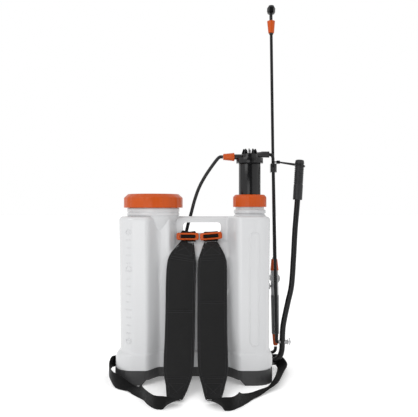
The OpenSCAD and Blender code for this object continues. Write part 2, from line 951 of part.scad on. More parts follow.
module shaft_washers() {
    color(steel)
        for (x = [bush_in_x - 4.2, bush_out_x + bush_w + 2.6])
            difference() {
                x_bar(x, x + 2, shaft_y, shaft_z, 9);
                x_bar(x - 1, x + 3, shaft_y, shaft_z, lever_d / 2 + 0.05);
            }
}

module shaft_split_pin() {
    color(steel)
        translate([shaft_in_x + 4.5, shaft_y, shaft_z - 10.4]) {
            cylinder(d = 3, h = 18);
            sphere(d = 5);
        }
}

// Cable tie: a closed loop round the grip, with its head at the clip on the link rod
module cable_tie() {
    centre = grip_at(tie_z - grip_low[1]);
    head = [tie_head[0], shaft_y, tie_head[1]];
    loop_r = 14.6;
    drop = [0, 0, 0.21];
    arc = [for (a = [-112:16:112]) centre + loop_r * [cos(a), sin(a), 0] - loop_r * cos(a) * drop];
    line = concat([head + [2, -1.6, -0.3]], arc, [head + [2, 1.6, -0.3]]);
    color(black) {
        band([for (p = line) [p, [0.2, 0, 1], 4.4, 1.3]], 0.3);
        translate(head - [4, 4, 4.6])
            cube([10, 8, 9.2]);
    }
}

// ---- Lance ----

// Hook on the side of the tank. The pin of the valve body rests in it and leaves to the rear.
module lance_hook() {
    pin_z = lance_z + pin_h;
    color(light_grey)
        difference() {
            union() {
                translate([184, lance_y - 12, pin_z - 10])
                    cube([8, 20, 20]);
                translate([190, lance_y - 9, pin_z - 7])
                    cube([13.4, 15, 14]);
            }
            tank_skin();
            translate([195, lance_y - 3.8, pin_z - 3.8])
                cube([20, 40, 7.6]);
        }
}

module handle_nut() {
    color(orange)
        at_lance()
            difference() {
                union() {
                    cylinder(d1 = 9.6, d2 = 13, h = 3);
                    translate([0, 0, 3])
                        cylinder(d1 = 13, d2 = 17, h = 28);
                }
                translate([0, 0, 10])
                    cylinder(d = 12.2, h = 40);
                translate([0, 0, -1])
                    cylinder(d = 5.2, h = 20);
                for (i = [0:9])
                    rotate([0, 0, 36 * i])
                        translate([9.1, 0, 4])
                            cylinder(r = 1.2, h = 40);
            }
}

module lance_handle() {
    color(dark_grey)
        at_lance()
            difference() {
                union() {
                    translate([0, 0, 12])
                        cylinder(d = 12, h = 20);
                    translate([0, 0, 31.2])
                        cylinder(d1 = 20, d2 = 22, h = valve_low - 31.2 - 0.1);
                }
                translate([0, 0, 10])
                    cylinder(d = 6, h = 200);
                translate([0, 0, 60])
                    cylinder(d = 10, h = 200);
            }
}

module handle_filter() {
    color(white)
        at_lance()
            ring(62, 60, 9.6, 6);
}

module valve_body() {
    h = valve_high - valve_low;
    color(light_grey)
        at_lance()
            difference() {
                union() {
                    translate([0, 0, valve_low])
                        cylinder(d = 20.6, h = h);
                    translate([0, 12, 182])
                        rotate([90, 0, 0])
                            cylinder(d = 27, h = 25);
                    // Pin that rests in the hook on the tank
                    translate([-16.6, 0, pin_h])
                        rotate([0, 90, 0])
                            cylinder(d = 6, h = 10);
                    translate([0, 0, valve_high - 1])
                        cylinder(d = 12, h = 13);
                    // Two cheeks for the trigger's pin
                    for (x = [-8.5, 5.5])
                        translate([x, 8, trigger_pivot[1] - 6])
                            cube([3, 16, 12]);
                }
                translate([0, 0, valve_low - 1])
                    cylinder(d = 7, h = 200);
                translate([0, 30, 182])
                    rotate([90, 0, 0])
                        cylinder(d = 11, h = 38);
                translate([-20, trigger_pivot[0], trigger_pivot[1]])
                    rotate([0, 90, 0])
                        cylinder(d = 3.1, h = 40);
            }
}

module valve_spindle() {
    color(steel)
        at_lance() {
            translate([0, 16.8, 182])
                rotate([90, 0, 0])
                    cylinder(d = 4, h = 21.4);
            translate([0, -2.4, 182])
                rotate([90, 0, 0])
                    cylinder(d = 9, h = 3);
        }
}

module valve_spring() {
    turns = 5;
    steps = 10;
    color(steel)
        at_lance()
            skin([
                for (i = [0:turns * steps])
                    let (
                        a = 360 * i / steps,
                        c = [3.9 * cos(a), -1.6 + 11 * i / (turns * steps), 182 + 3.9 * sin(a)],
                        u = [cos(a), 0, sin(a)]
                    )
                        [for (k = [0:5]) c + 0.6 * (cos(60 * k) * u + sin(60 * k) * [0, 1, 0])]
            ]);
}

module trigger() {
    color(dark_grey)
        at_lance()
            difference() {
                union() {
                    translate([-5, trigger_pivot[0], trigger_pivot[1]])
                        rotate([0, 90, 0])
                            cylinder(r = 4.4, h = 10);
                    translate([-5, 0, 0])
                        rotate([90, 0, 90])
                            linear_extrude(10)
                                polygon([
                                    [trigger_pivot[0] - 2, trigger_pivot[1] - 2], [trigger_pivot[0] + 4.2, trigger_pivot[1]],
                                    [29, 160], [34, 120], [40, 84], [44, 66], [41, 64], [36, 82], [29.5, 118], [24, 158]
                                ]);
                }
                translate([-20, trigger_pivot[0], trigger_pivot[1]])
                    rotate([0, 90, 0])
                        cylinder(r = 1.5 + run_gap, h = 40);
            }
}

module trigger_pin() {
    color(steel)
        at_lance()
            translate([-9, trigger_pivot[0], trigger_pivot[1]])
                rotate([0, 90, 0])
                    cylinder(r = 1.5, h = 18);
}

module wand_nut() {
    color(orange)
        at_lance()
            difference() {
                translate([0, 0, valve_high + 0.2])
                    cylinder(d1 = 22.6, d2 = 16.6, h = 30);
                translate([0, 0, valve_high - 1])
                    cylinder(d = 12.2, h = 14);
                translate([0, 0, valve_high])
                    cylinder(d = wand_d + 0.1, h = 40);
                for (i = [0:9])
                    rotate([0, 0, 36 * i])
                        translate([11.6, 0, valve_high - 1])
                            cylinder(r = 1.3, h = 24);
            }
}

module wand_seal() {
    color(rubber)
        at_lance()
            for (z = [valve_high + 30.3, nozzle_nut_h - 4.2])
                ring(z, 4, 10.5, wand_d + 0.1);
}

module wand_tube() {
    color(black)
        at_lance()
            ring(valve_high + 13, nozzle_nut_h + 7 - valve_high - 13, wand_d, 5);
}

module nozzle_nut() {
    color(orange)
        at_lance()
            difference() {
                translate([0, 0, nozzle_nut_h])
                    cylinder(d1 = 15.5, d2 = 21.4, h = 32);
                translate([0, 0, 840])
                    cylinder(d = wand_d + 2 * run_gap, h = 50);
                translate([0, 0, 853])
                    cylinder(d = 12.4, h = 50);
                for (i = [0:9])
                    rotate([0, 0, 36 * i])
                        translate([11.2, 0, 851])
                            cylinder(r = 1.3, h = 40);
            }
}

module nozzle() {
    color(black)
        at_lance() {
            difference() {
                union() {
                    translate([0, 0, 853.5])
                        cylinder(d = 12, h = 12);
                    translate([0, 0, 865])
                        cylinder(d = 8.6, h = 34);
                    translate([0, 0, 897])
                        rotate([0, 4, 0]) {
                            cylinder(d = 19, h = 4, $fn = 6);
                            translate([0, 0, 4])
                                cylinder(d = 22, h = 12, $fn = 6);
                            translate([0, 0, 16])
                                cylinder(d1 = 20, d2 = 14, h = 6);
                        }
                }
                translate([0, 0, 850])
                    cylinder(d = 3, h = 66);
            }
        }
}

// ---- Hose, straps and webbing ----

module hose() {
    color(black)
        tube(smooth_path(hose_points, hose_steps), hose_d / 2, 10);
}

module pad(centre_x) {
    color(black)
        band([
            for (i = [0:len(pad_line) - 1])
                let (p = pad_line[i])
                    [[centre_x[i], p[0], p[1]], [1, 0, 0], pad_w * p[2], pad_t * p[3]]
        ], 0.6);
}

module left_pad() { pad(left_pad_x); }

module right_pad() { pad(right_pad_x); }

// Flat slider with two slots
module slider_buckle() {
    w = 58;
    h = 19;
    t = 3.6;
    rotate([90, 0, 0])
        difference() {
            linear_extrude(t)
                union() {
                    square([w - 6, h], center = true);
                    square([w, h - 6], center = true);
                    for (x = [-1, 1], y = [-1, 1])
                        translate([x * (w / 2 - 3), y * (h / 2 - 3)])
                            circle(r = 3);
                }
            for (y = [-1, 1])
                translate([0, y * 3.9, 0])
                    cube([42, 4.4, 3 * t], center = true);
        }
}

module strap_buckles() {
    color(orange) {
        translate([-16.5, -20.4, 362.5])
            slider_buckle();
        translate([43.6, -20.4, 363.5])
            rotate([0, -5, 0])
                slider_buckle();
    }
}

// Webbing over the lower edge of the hand hole, from the buckle to its anchor behind the web. It
// is set over, so that it lies on the straight part of the edge.
module upper_webbing() {
    y = web_t / 2 + 2;
    color(black)
        for (s = [[-12, -5], [43, 42]])
            band([
                for (p = [
                    [-y - 1, window_z - 17], [-y, window_z - 6], [-y, window_z - 0.5],
                    [-y + 0.8, window_z + 1.6], [-y + 4, window_z + 2], [y - 4, window_z + 2],
                    [y - 0.8, window_z + 1.6], [y, window_z - 0.5], [y, window_z - 16]
                ])
                    let (x = p[0] > 1 - y ? s[1] : s[0] + (s[1] - s[0]) * soft_step((p[1] - window_z + 17) / 18))
                        [[x, p[0], p[1]], [1, 0, 0], 28, web_thick]
            ], 0.4);
}

module webbing_anchors() {
    y = web_t / 2 + 3.2;
    color(orange)
        for (x = [-5, 42])
            difference() {
                translate([x - 18, y, window_z - 17])
                    cube([36, 3, 12]);
                for (s = [-1, 1])
                    translate([x + 13 * s, y - 1, window_z - 11])
                        rotate([-90, 0, 0])
                            cylinder(d = 4, h = 5);
            }
}

module tail(line) {
    color(black)
        band([for (p = line) [p[0], p[1], web_w, web_thick]], 0.4);
}

module left_tail() { tail(left_tail_line); }

module right_tail() { tail(right_tail_line); }

// Brackets on the sides of the base that take the ends of the webbing
module tail_loops() {
    color(dark_grey)
        difference() {
            union() {
                translate([-204, 34, 12])
                    cube([14, 14, 23]);
                translate([180, 68, 6])
                    cube([25, 12, 29]);
            }
            linear_extrude(tank_bottom)
                polygon(plan(bulge_w / 2, tank_d / 2, corner_r));
            translate([-210, 39, 16])
                cube([10, 3, 15]);
            translate([202, 73, 10])
                cube([10, 3, 20]);
        }
}

tank();
base();
base_screws();
shaft_bushes();
strainer();
lid();
lid_gasket();
lid_vent_valve();
pump_cylinder();
pump_gasket();
pump_collar();
chamber_guide();
inlet_valve_seat();
inlet_ball();
intake_strainer();
air_chamber();
pump_head();
head_seal();
piston_tube();
piston();
piston_cup();
outlet_ball();
outlet_nut();
outlet_hose_tail();
link_rod();
lance_clip();
lever_tube();
lever_grip();
crank_bush();
crank_pin();
crank_pin_clip();
shaft_washers();
shaft_split_pin();
cable_tie();
lance_hook();
handle_nut();
lance_handle();
handle_filter();
valve_body();
valve_spindle();
valve_spring();
trigger();
trigger_pin();
wand_nut();
wand_tube();
wand_seal();
nozzle_nut();
nozzle();
hose();
left_pad();
right_pad();
strap_buckles();
upper_webbing();
webbing_anchors();
left_tail();
right_tail();
tail_loops();
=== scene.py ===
"""Knapsack sprayer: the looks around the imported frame.

Shapes are written in millimetres and become metres in mesh_object(). x runs to the lever side,
-y is the wearer's side and z is up.
"""

import math

import bmesh
import bpy
from mathutils import Matrix, Vector
from mathutils.bvhtree import BVHTree


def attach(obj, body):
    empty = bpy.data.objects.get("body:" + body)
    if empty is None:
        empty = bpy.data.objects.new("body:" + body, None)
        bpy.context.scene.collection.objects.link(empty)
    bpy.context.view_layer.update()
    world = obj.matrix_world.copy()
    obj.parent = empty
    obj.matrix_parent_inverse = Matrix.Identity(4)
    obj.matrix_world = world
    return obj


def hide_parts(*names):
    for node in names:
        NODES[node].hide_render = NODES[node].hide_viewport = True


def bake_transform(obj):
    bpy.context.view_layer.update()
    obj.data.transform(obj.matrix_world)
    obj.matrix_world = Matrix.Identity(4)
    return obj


MM = 0.001
SHARP = math.radians(35)

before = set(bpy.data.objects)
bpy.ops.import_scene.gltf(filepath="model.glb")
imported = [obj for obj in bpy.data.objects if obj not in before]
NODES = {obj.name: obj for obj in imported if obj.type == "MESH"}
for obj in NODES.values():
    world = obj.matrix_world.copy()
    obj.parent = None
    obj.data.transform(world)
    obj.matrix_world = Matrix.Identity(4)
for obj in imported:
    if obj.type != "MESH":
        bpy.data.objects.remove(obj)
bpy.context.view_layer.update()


# ---- Numbers shared with the CAD model, in millimetres ----
# Here the pads are 3 wider and the lower webbing 0.6 narrower than in the CAD model.

TANK_W, WAIST_W, BULGE_W = 387, 380, 396
TANK_D, CORNER_R, LOBE_DEPTH = 176, 45, 36
TANK_BOTTOM, SHOULDER_Z = 36.6, 414
WEB_T = 28
FRONT_SLOPE = TANK_D / 2 - LOBE_DEPTH - WEB_T / 2
REAR_SLOPE = TANK_D / 2 - WEB_T / 2
# The hand hole: its left, right, lower and upper edge, and the radius of its corners
WINDOW = (-29, 69, 371, 398)
WINDOW_R = 9
FILLER_X, PUMP_X, PUMP_Y = -106, 145, 12
SHAFT_Y = 40

HOSE_POINTS = [
    (75.2, 12, 569), (68, 12, 569), (61, 12.4, 564), (47, 14, 546), (28, 17, 518), (12, 19, 488),
    (0, 21, 454), (-9, 25, 420), (-16, 30, 396), (-22, 36, 371), (-26, 47, 350), (-28, 73, 331),
    (-30, 96, 310), (-31, 102, 280), (-31, 102, 220), (-30, 101, 150), (-28, 101, 90),
    (-22, 103, 48), (-6, 106, 17), (24, 112, 5), (75, 117, 4.6), (125, 118, 5), (160, 114, 11),
    (183, 104, 24), (202, 88, 36), (213, 73, 43), (217.6, 65.4, 50), (218.6, 63.2, 56), (218.6, 63, 60),
]
HOSE_D = 8.8

# The pads, as (y, z, share of the full width, share of the full thickness)
PAD_LINE = [
    (-24.6, 348.8, 0.45, 0.45), (-32, 342.5, 0.57, 0.5), (-47, 332, 0.7, 0.6), (-58.5, 319, 0.85, 0.8),
    (-64, 303, 0.97, 0.95), (-66, 280, 1, 1), (-67, 240, 1, 1), (-69, 190, 1, 1), (-74, 150, 1, 1),
    (-86, 112, 1, 1), (-105, 78, 1, 1), (-131, 47, 0.98, 0.95), (-160, 24, 0.75, 0.85),
    (-190, 12, 0.6, 0.72), (-214, 8, 0.48, 0.6),
]
PAD_X = {
    "left_pad": [-16, -18.5, -22, -25.5, -28.5, -30.5, -32, -32.5, -33, -33.5, -34, -34, -35, -37, -38],
    "right_pad": [43.5, 44, 45, 46, 46.5, 46.5, 46.5, 46.5, 46.5, 47, 47.5, 48.5, 49, 48.5, 48],
}
PAD_W, PAD_T = 74, 11.5

# The lower webbing, as (centre, direction of its width)
TAILS = {
    "left_tail": [
        ((-38.5, -217, 7.8), (1, 0, 0)), ((-45, -240, 10), (0.9, -0.3, 0.6)),
        ((-60, -257, 15.3), (0.2, 0, 1)), ((-79, -252, 15.3), (0, 0, 1)),
        ((-97, -225, 15.3), (0, 0, 1)), ((-112, -192, 15.3), (0, 0, 1)),
        ((-126, -160, 12.5), (0.5, 0.3, 0.8)), ((-141, -130, 6), (0.8, 0.6, 0.2)),
        ((-158, -115, 6), (0.5, 0.8, 0.3)), ((-180, -104, 14), (0.2, 0.4, 0.8)),
        ((-199, -84, 21), (0, 0, 1)), ((-212, -50, 27), (0, 0, 1)),
        ((-216, -12, 31), (0, 0, 1)), ((-216, 18, 31), (0, 0, 1)),
        ((-213, 36, 28), (0, 0, 1)), ((-206, 43, 28), (0, 0, 1)),
    ],
    "right_tail": [
        ((48, -217, 7.8), (1, 0, 0)), ((55, -242, 10), (0.9, 0.4, -0.6)),
        ((70, -264, 15.3), (0.2, 0, -1)), ((88, -262, 15.3), (0, 0, -1)),
        ((103, -242, 15), (0.15, -0.05, -1)), ((114, -214, 12), (0.55, -0.3, -0.78)),
        ((126, -187, 6.4), (0.84, -0.5, -0.3)), ((146, -160, 3), (0.8, -0.6, 0)),
        ((168, -134, 5), (0.84, -0.55, 0.25)), ((192, -106, 8), (0.8, -0.4, 0.45)),
        ((210, -54, 9.4), (0.75, -0.35, 0.57)), ((222, -10, 9.4), (0.75, -0.3, 0.57)),
        ((232, 32, 8.4), (0.85, -0.2, 0.45)), ((236, 62, 11), (0.85, 0, 0.5)),
        ((226, 78, 20), (0.3, 0.2, 0.9)), ((207, 77, 21), (0, 0, 1)),
    ],
}
TAIL_W, TAIL_T = 29.4, 1.5


# ---- Mesh helpers ----

def add_object(name, data):
    obj = bpy.data.objects.new(name, data)
    bpy.context.collection.objects.link(obj)
    return obj


def soft_step(t):
    """0 up to t = 0, 1 from t = 1 on, and a smooth rise between them."""
    t = min(max(t, 0.0), 1.0)
    return t * t * (3 - 2 * t)


def lerp(table, t):
    """The value at t in a table of (place, value) rows."""
    for (a, va), (b, vb) in zip(table, table[1:]):
        if t <= b:
            return va + (vb - va) * max(t - a, 0) / (b - a)
    return table[-1][1]


def smooth_path(points, steps):
    """A smooth path through the points, with some steps between each two."""
    pts = [Vector(p) for p in points]
    out = []
    for i in range(len(pts) - 1):
        a, b, c = pts[max(i - 1, 0)], pts[i], pts[i + 1]
        d = pts[min(i + 2, len(pts) - 1)]
        for j in range(steps):
            t = j / steps
            square = 2 * a - 5 * b + 4 * c - d
            cube = 3 * b - a - 3 * c + d
            out.append(b + ((c - a) * t + square * t * t + cube * t ** 3) / 2)
    return out + [pts[-1]]


def rounded_path(points, radius, steps):
    """Straight runs between the points, with a round bend at each inner one."""
    pts = [Vector(p) for p in points]
    out = [pts[0]]
    for a, b, c in zip(pts, pts[1:], pts[2:]):
        u, v = (a - b).normalized(), (c - b).normalized()
        cut = radius / math.tan(u.angle(v) / 2)
        start, end = b + u * cut, b + v * cut
        for i in range(steps + 1):
            t = i / steps
            out.append(start * (1 - t) ** 2 + b * (2 * t * (1 - t)) + end * t * t)
    return out + [pts[-1]]


def mesh_object(name, verts, faces, smooth=True):
    """A mesh object from vertices in millimetres."""
    mesh = bpy.data.meshes.new(name)
    mesh.from_pydata([Vector(v) * MM for v in verts], [], faces)
    mesh.validate()
    mesh.update()
    if smooth:
        mesh.shade_smooth()
        mesh.set_sharp_from_angle(angle=SHARP)
    return add_object(name, mesh)


def loft(rings, caps=True):
    """Vertices and faces of a skin over rings with equal numbers of points."""
    n = len(rings[0])
    verts = [v for ring in rings for v in ring]
    faces = []
    for k in range(len(rings) - 1):
        for i in range(n):
            j = (i + 1) % n
            faces.append((k * n + i, k * n + j, (k + 1) * n + j, (k + 1) * n + i))
    if caps:
        faces.append(tuple(reversed(range(n))))
        faces.append(tuple(range((len(rings) - 1) * n, len(rings) * n)))
    return verts, faces


def frames_along(path, up):
    """Tangent, side and normal at each point of a path, turned as little as possible."""
    out = []
    side = None
    for i, p in enumerate(path):
        t = (path[min(i + 1, len(path) - 1)] - path[max(i - 1, 0)]).normalized()
        side = Vector(up).cross(t) if side is None else side - t * side.dot(t)
        side.normalize()
        out.append((t, side.copy(), t.cross(side)))
    return out


def tube_rings(path, radius, sides, up=(0, 1, 0), ends=0.0):
    """Rings of a round tube. With ends, both ends are rounded off over that length."""
    radii = radius if isinstance(radius, (list, tuple)) else [radius] * len(path)
    angles = [2 * math.pi * k / sides for k in range(sides)]
    frames = frames_along(path, up)
    rings = []
    for p, r, (_, u, v) in zip(path, radii, frames):
        rings.append([p + u * r * math.cos(a) + v * r * math.sin(a) for a in angles])
    if ends:
        first, last = frames[0][0], frames[-1][0]
        for at_start in (True, False):
            ring = rings[0] if at_start else rings[-1]
            centre = path[0] if at_start else path[-1]
            out = -first if at_start else last
            extra = []
            for a in (30, 60, 80):
                s, c = math.sin(math.radians(a)), math.cos(math.radians(a))
                extra.append([centre + (q - centre) * c + out * ends * s for q in ring])
            rings = (extra[::-1] + rings) if at_start else (rings + extra)
    return rings


def tube(name, path, radius, sides=24, up=(0, 1, 0), ends=0.0):
    return mesh_object(name, *loft(tube_rings(path, radius, sides, up, ends)))


def band_object(name, stops, width, thickness):
    """Flat webbing with rounded edges and a UV map in metres: u across, v along.

    Each stop is (centre, direction of the width) and may add a share of the full width.
    """
    path = [Vector(s[0]) for s in stops]
    outline = []
    for side in (1, -1):
        for a in (-90, -45, 0, 45, 90):
            r = math.radians(a)
            outline.append((side * (width / 2 - thickness / 2 + thickness / 2 * math.cos(r)),
                            side * thickness / 2 * math.sin(r)))
        for k in range(1, 8):
            outline.append((side * (width / 2 - thickness / 2) * (1 - k / 4), side * thickness / 2))
    rings = []
    for i, (p, (t, _, _)) in enumerate(zip(path, frames_along(path, (0.3, 0.2, 1)))):
        u = Vector(stops[i][1])
        u = (u - t * u.dot(t)).normalized()
        v = t.cross(u)
        share = stops[i][2] if len(stops[i]) > 2 else 1
        rings.append([p + u * a * share + v * b for a, b in outline])
    obj = mesh_object(name, *loft(rings))
    lengths = [0.0]
    for a, b in zip(path, path[1:]):
        lengths.append(lengths[-1] + (b - a).length)
    n = len(outline)
    layer = obj.data.uv_layers.new(name="webbing")
    for loop in obj.data.loops:
        ring, k = divmod(loop.vertex_index, n)
        layer.data[loop.index].uv = (outline[k][0] * MM, lengths[ring] * MM)
    return obj


def lathe(name, profile, segments, at=(0, 0, 0), change=None):
    """Turns a profile of (radius, z) round the z axis. change(r, z, angle) may change a radius."""
    rings = []
    for r, z in profile:
        ring = []
        for i in range(segments):
            a = 2 * math.pi * i / segments
            q = change(r, z, a) if change else r
            ring.append(Vector((at[0] + q * math.cos(a), at[1] + q * math.sin(a), at[2] + z)))
        rings.append(ring)
    return mesh_object(name, *loft(rings))


def join(objects, name):
    """One object from several."""
    bm = bmesh.new()
    for obj in objects:
        obj.data.transform(obj.matrix_world)
        bm.from_mesh(obj.data)
    mesh = bpy.data.meshes.new(name)
    bm.to_mesh(mesh)
    bm.free()
    mesh.shade_smooth()
    mesh.set_sharp_from_angle(angle=SHARP)
    for obj in objects:
        bpy.data.objects.remove(obj)
    return add_object(name, mesh)


def apply_modifiers(obj):
    """Makes the result of an object's modifiers its mesh."""
    depsgraph = bpy.context.evaluated_depsgraph_get()
    mesh = bpy.data.meshes.new_from_object(obj.evaluated_get(depsgraph))
    obj.modifiers.clear()
    obj.data = mesh


def turn_faces_out(obj):
    bm = bmesh.new()
    bm.from_mesh(obj.data)
    bmesh.ops.recalc_face_normals(bm, faces=bm.faces)
    bm.to_mesh(obj.data)
    bm.free()


def add_bevel(obj, width):
    bevel = obj.modifiers.new("bevel", "BEVEL")
    bevel.width = width * MM
    bevel.segments = 2
    bevel.limit_method = "ANGLE"
    bevel.angle_limit = math.radians(40)


def dress(node, material, bevel=0.0):
    """Gives a CAD node its material and, if asked, soft edges."""
    obj = NODES[node]
    obj.data.materials.clear()
    obj.data.materials.append(material)
    if bevel:
        weld = obj.modifiers.new("weld", "WELD")
        weld.merge_threshold = 0.00001
        add_bevel(obj, bevel)


def finish_piece(obj, body, material, slot, *replaced):
    """Gives a piece its material and body, and hides the CAD nodes it stands for. The slot is not used.
    """
    obj.data.materials.clear()
    obj.data.materials.append(material)
    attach(obj, body)
    if replaced:
        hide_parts(*replaced)
    return obj


# ---- Materials ----

class Nodes:
    """Short ways to add nodes to a material."""

    def __init__(self, name):
        self.material = bpy.data.materials.new(name)
        self.material.use_nodes = True
        self.tree = self.material.node_tree
        self.shader = self.tree.nodes["Principled BSDF"]
        self.place = self.add("ShaderNodeTexCoord").outputs["Object"]

    def add(self, kind, **values):
        node = self.tree.nodes.new(kind)
        for key, value in values.items():
            setattr(node, key, value)
        return node

    def link(self, a, b):
        self.tree.links.new(a, b)

    def noise(self, scale, detail=3.0, stretch=None):
        node = self.add("ShaderNodeTexNoise")
        node.inputs["Scale"].default_value = scale
        node.inputs["Detail"].default_value = detail
        source = self.place
        if stretch:
            mapping = self.add("ShaderNodeMapping")
            mapping.inputs["Scale"].default_value = stretch
            self.link(source, mapping.inputs["Vector"])
            source = mapping.outputs["Vector"]
        self.link(source, node.inputs["Vector"])
        return node.outputs["Fac"]

    def between(self, fac, low, high, start=0.3, stop=0.7):
        """low where fac is at start or below, and high where it is at stop or above."""
        node = self.add("ShaderNodeMapRange")
        node.inputs["From Min"].default_value = start
        node.inputs["From Max"].default_value = stop
        node.inputs["To Min"].default_value = low
        node.inputs["To Max"].default_value = high
        self.link(fac, node.inputs["Value"])
        return node.outputs["Result"]

    def tint(self, fac, dark, light):
        node = self.add("ShaderNodeMix", data_type="RGBA")
        node.inputs[6].default_value = (*dark, 1)
        node.inputs[7].default_value = (*light, 1)
        self.link(fac, node.inputs[0])
        return node.outputs[2]

    def math(self, operation, a, b):
        node = self.add("ShaderNodeMath", operation=operation)
        for socket, value in zip(node.inputs, (a, b)):
            if isinstance(value, (int, float)):
                socket.default_value = value
            else:
                self.link(value, socket)
        return node.outputs[0]

    def bump(self, height, strength, distance, below=None):
        node = self.add("ShaderNodeBump")
        node.inputs["Strength"].default_value = strength
        node.inputs["Distance"].default_value = distance
        self.link(height, node.inputs["Height"])
        if below:
            self.link(below, node.inputs["Normal"])
        return node.outputs["Normal"]

    def colour(self, socket):
        self.link(socket, self.shader.inputs["Base Color"])

    def roughness(self, socket):
        self.link(socket, self.shader.inputs["Roughness"])

    def normal(self, socket):
        self.link(socket, self.shader.inputs["Normal"])

    def set(self, name, value):
        self.shader.inputs[name].default_value = value


def shaded(colour, factor):
    return tuple(min(c * factor, 1.0) for c in colour)


def plastic(name, colour, rough, grain=0.12, grain_scale=900, vary=0.08, scuffs=0.1, peel=0.05,
            specular=0.5):
    """Moulded plastic: soft colour variation, a fine grain or orange peel, and faint scuffs."""
    n = Nodes(name)
    n.colour(n.tint(n.between(n.noise(14), 0, 1), shaded(colour, 1 - vary), shaded(colour, 1 + vary)))
    scratches = n.noise(45, 4)
    n.roughness(n.between(scratches, rough - scuffs / 2, rough + scuffs, 0.35, 0.75))
    waviness = n.bump(n.noise(70, 2), peel, 0.0006)
    n.normal(n.bump(n.noise(grain_scale, 3), grain, 0.0002, waviness))
    n.set("Specular IOR Level", specular)
    return n.material


def metal(name, colour, rough):
    """Bright drawn metal with fine lines along it."""
    n = Nodes(name)
    lines = n.noise(160, 4, stretch=(1, 1, 40))
    n.colour(n.tint(lines, shaded(colour, 0.86), shaded(colour, 1.08)))
    n.roughness(n.between(lines, rough - 0.06, rough + 0.12))
    n.normal(n.bump(lines, 0.12, 0.0001))
    n.set("Metallic", 1.0)
    return n.material


def paint(name, colour, rough):
    """Satin black paint on a tube, with orange peel and a few pale rub marks."""
    n = Nodes(name)
    rubs = n.between(n.noise(24, 4, stretch=(1, 1, 0.3)), 0, 0.3, 0.62, 0.8)
    n.colour(n.tint(rubs, colour, shaded(colour, 1.8)))
    n.roughness(n.between(n.noise(90, 4), rough - 0.05, rough + 0.1))
    n.normal(n.bump(n.noise(260, 2), 0.08, 0.0003))
    n.set("Specular IOR Level", 0.2)
    n.set("Coat Weight", 0.05)
    n.set("Coat Roughness", 0.2)
    return n.material


def rubber(name, colour, rough):
    n = Nodes(name)
    n.colour(n.tint(n.noise(30, 4), shaded(colour, 0.8), shaded(colour, 1.3)))
    n.roughness(n.between(n.noise(120, 4), rough - 0.08, rough + 0.12))
    n.normal(n.bump(n.noise(700, 3), 0.2, 0.0003))
    n.set("Specular IOR Level", 0.3)
    return n.material


def pad_cloth(name):
    """Woven nylon: a fine plain weave with painted shade between its threads, a soft sheen and a little
    dust.
    """
    n = Nodes(name)
    split = n.add("ShaderNodeSeparateXYZ")
    n.link(n.place, split.inputs[0])
    along = n.math("SUBTRACT", split.outputs[2], split.outputs[1])
    across = split.outputs[0]
    thread_pitch = 0.0011
    warp = n.math("SINE", n.math("MULTIPLY", across, 2 * math.pi / thread_pitch), 0)
    weft = n.math("SINE", n.math("MULTIPLY", along, 2 * math.pi / thread_pitch), 0)
    weave = n.math("MULTIPLY", warp, weft)
    height = n.math("ADD", n.math("MULTIPLY", weave, 0.5), 0.5)
    dust = n.noise(26, 5)
    base = n.tint(n.between(dust, 0, 1, 0.4, 0.75), (0.0055, 0.0055, 0.0058), (0.0095, 0.0095, 0.0099))
    # Multiplies the base colour darker where the weave is low: painted shade between the threads.
    thread = n.add("ShaderNodeMix", data_type="RGBA", blend_type="MULTIPLY")
    thread.inputs[0].default_value = 1.0
    n.link(base, thread.inputs[6])
    n.link(n.tint(height, (0.62, 0.62, 0.62), (1, 1, 1)), thread.inputs[7])
    n.colour(thread.outputs[2])
    n.roughness(n.between(dust, 0.62, 0.8))
    creases = n.bump(n.noise(55, 4, stretch=(1, 1, 2.2)), 0.35, 0.0012)
    n.normal(n.bump(height, 0.5, 0.0003, creases))
    n.set("Sheen Weight", 0.02)
    n.set("Sheen Roughness", 0.45)
    n.set("Specular IOR Level", 0.25)
    return n.material


def webbing_cloth(name):
    """Polypropylene webbing: ribs across and cords along, with painted shade in the grooves between
    them.
    """
    n = Nodes(name)
    uv = n.add("ShaderNodeUVMap", uv_map="webbing")
    split = n.add("ShaderNodeSeparateXYZ")
    n.link(uv.outputs[0], split.inputs[0])
    rib_pitch, cord_pitch = 0.0019, 0.0024
    ribs = n.math("SINE", n.math("MULTIPLY", split.outputs[1], 2 * math.pi / rib_pitch), 0)
    cords = n.math("SINE", n.math("MULTIPLY", split.outputs[0], 2 * math.pi / cord_pitch), 0)
    height = n.math("ADD", n.math("MULTIPLY", ribs, 0.4), n.math("MULTIPLY", cords, 0.3))
    level = n.between(height, 0, 1, -0.7, 0.7)
    # The colour is darker where the ribs and cords are low: painted shade in the grooves.
    n.colour(n.tint(level, (0.0025, 0.0025, 0.0026), (0.0065, 0.0065, 0.0068)))
    n.roughness(n.between(n.noise(200, 3), 0.5, 0.68))
    n.normal(n.bump(level, 0.6, 0.0004))
    n.set("Sheen Weight", 0.01)
    n.set("Specular IOR Level", 0.1)
    return n.material


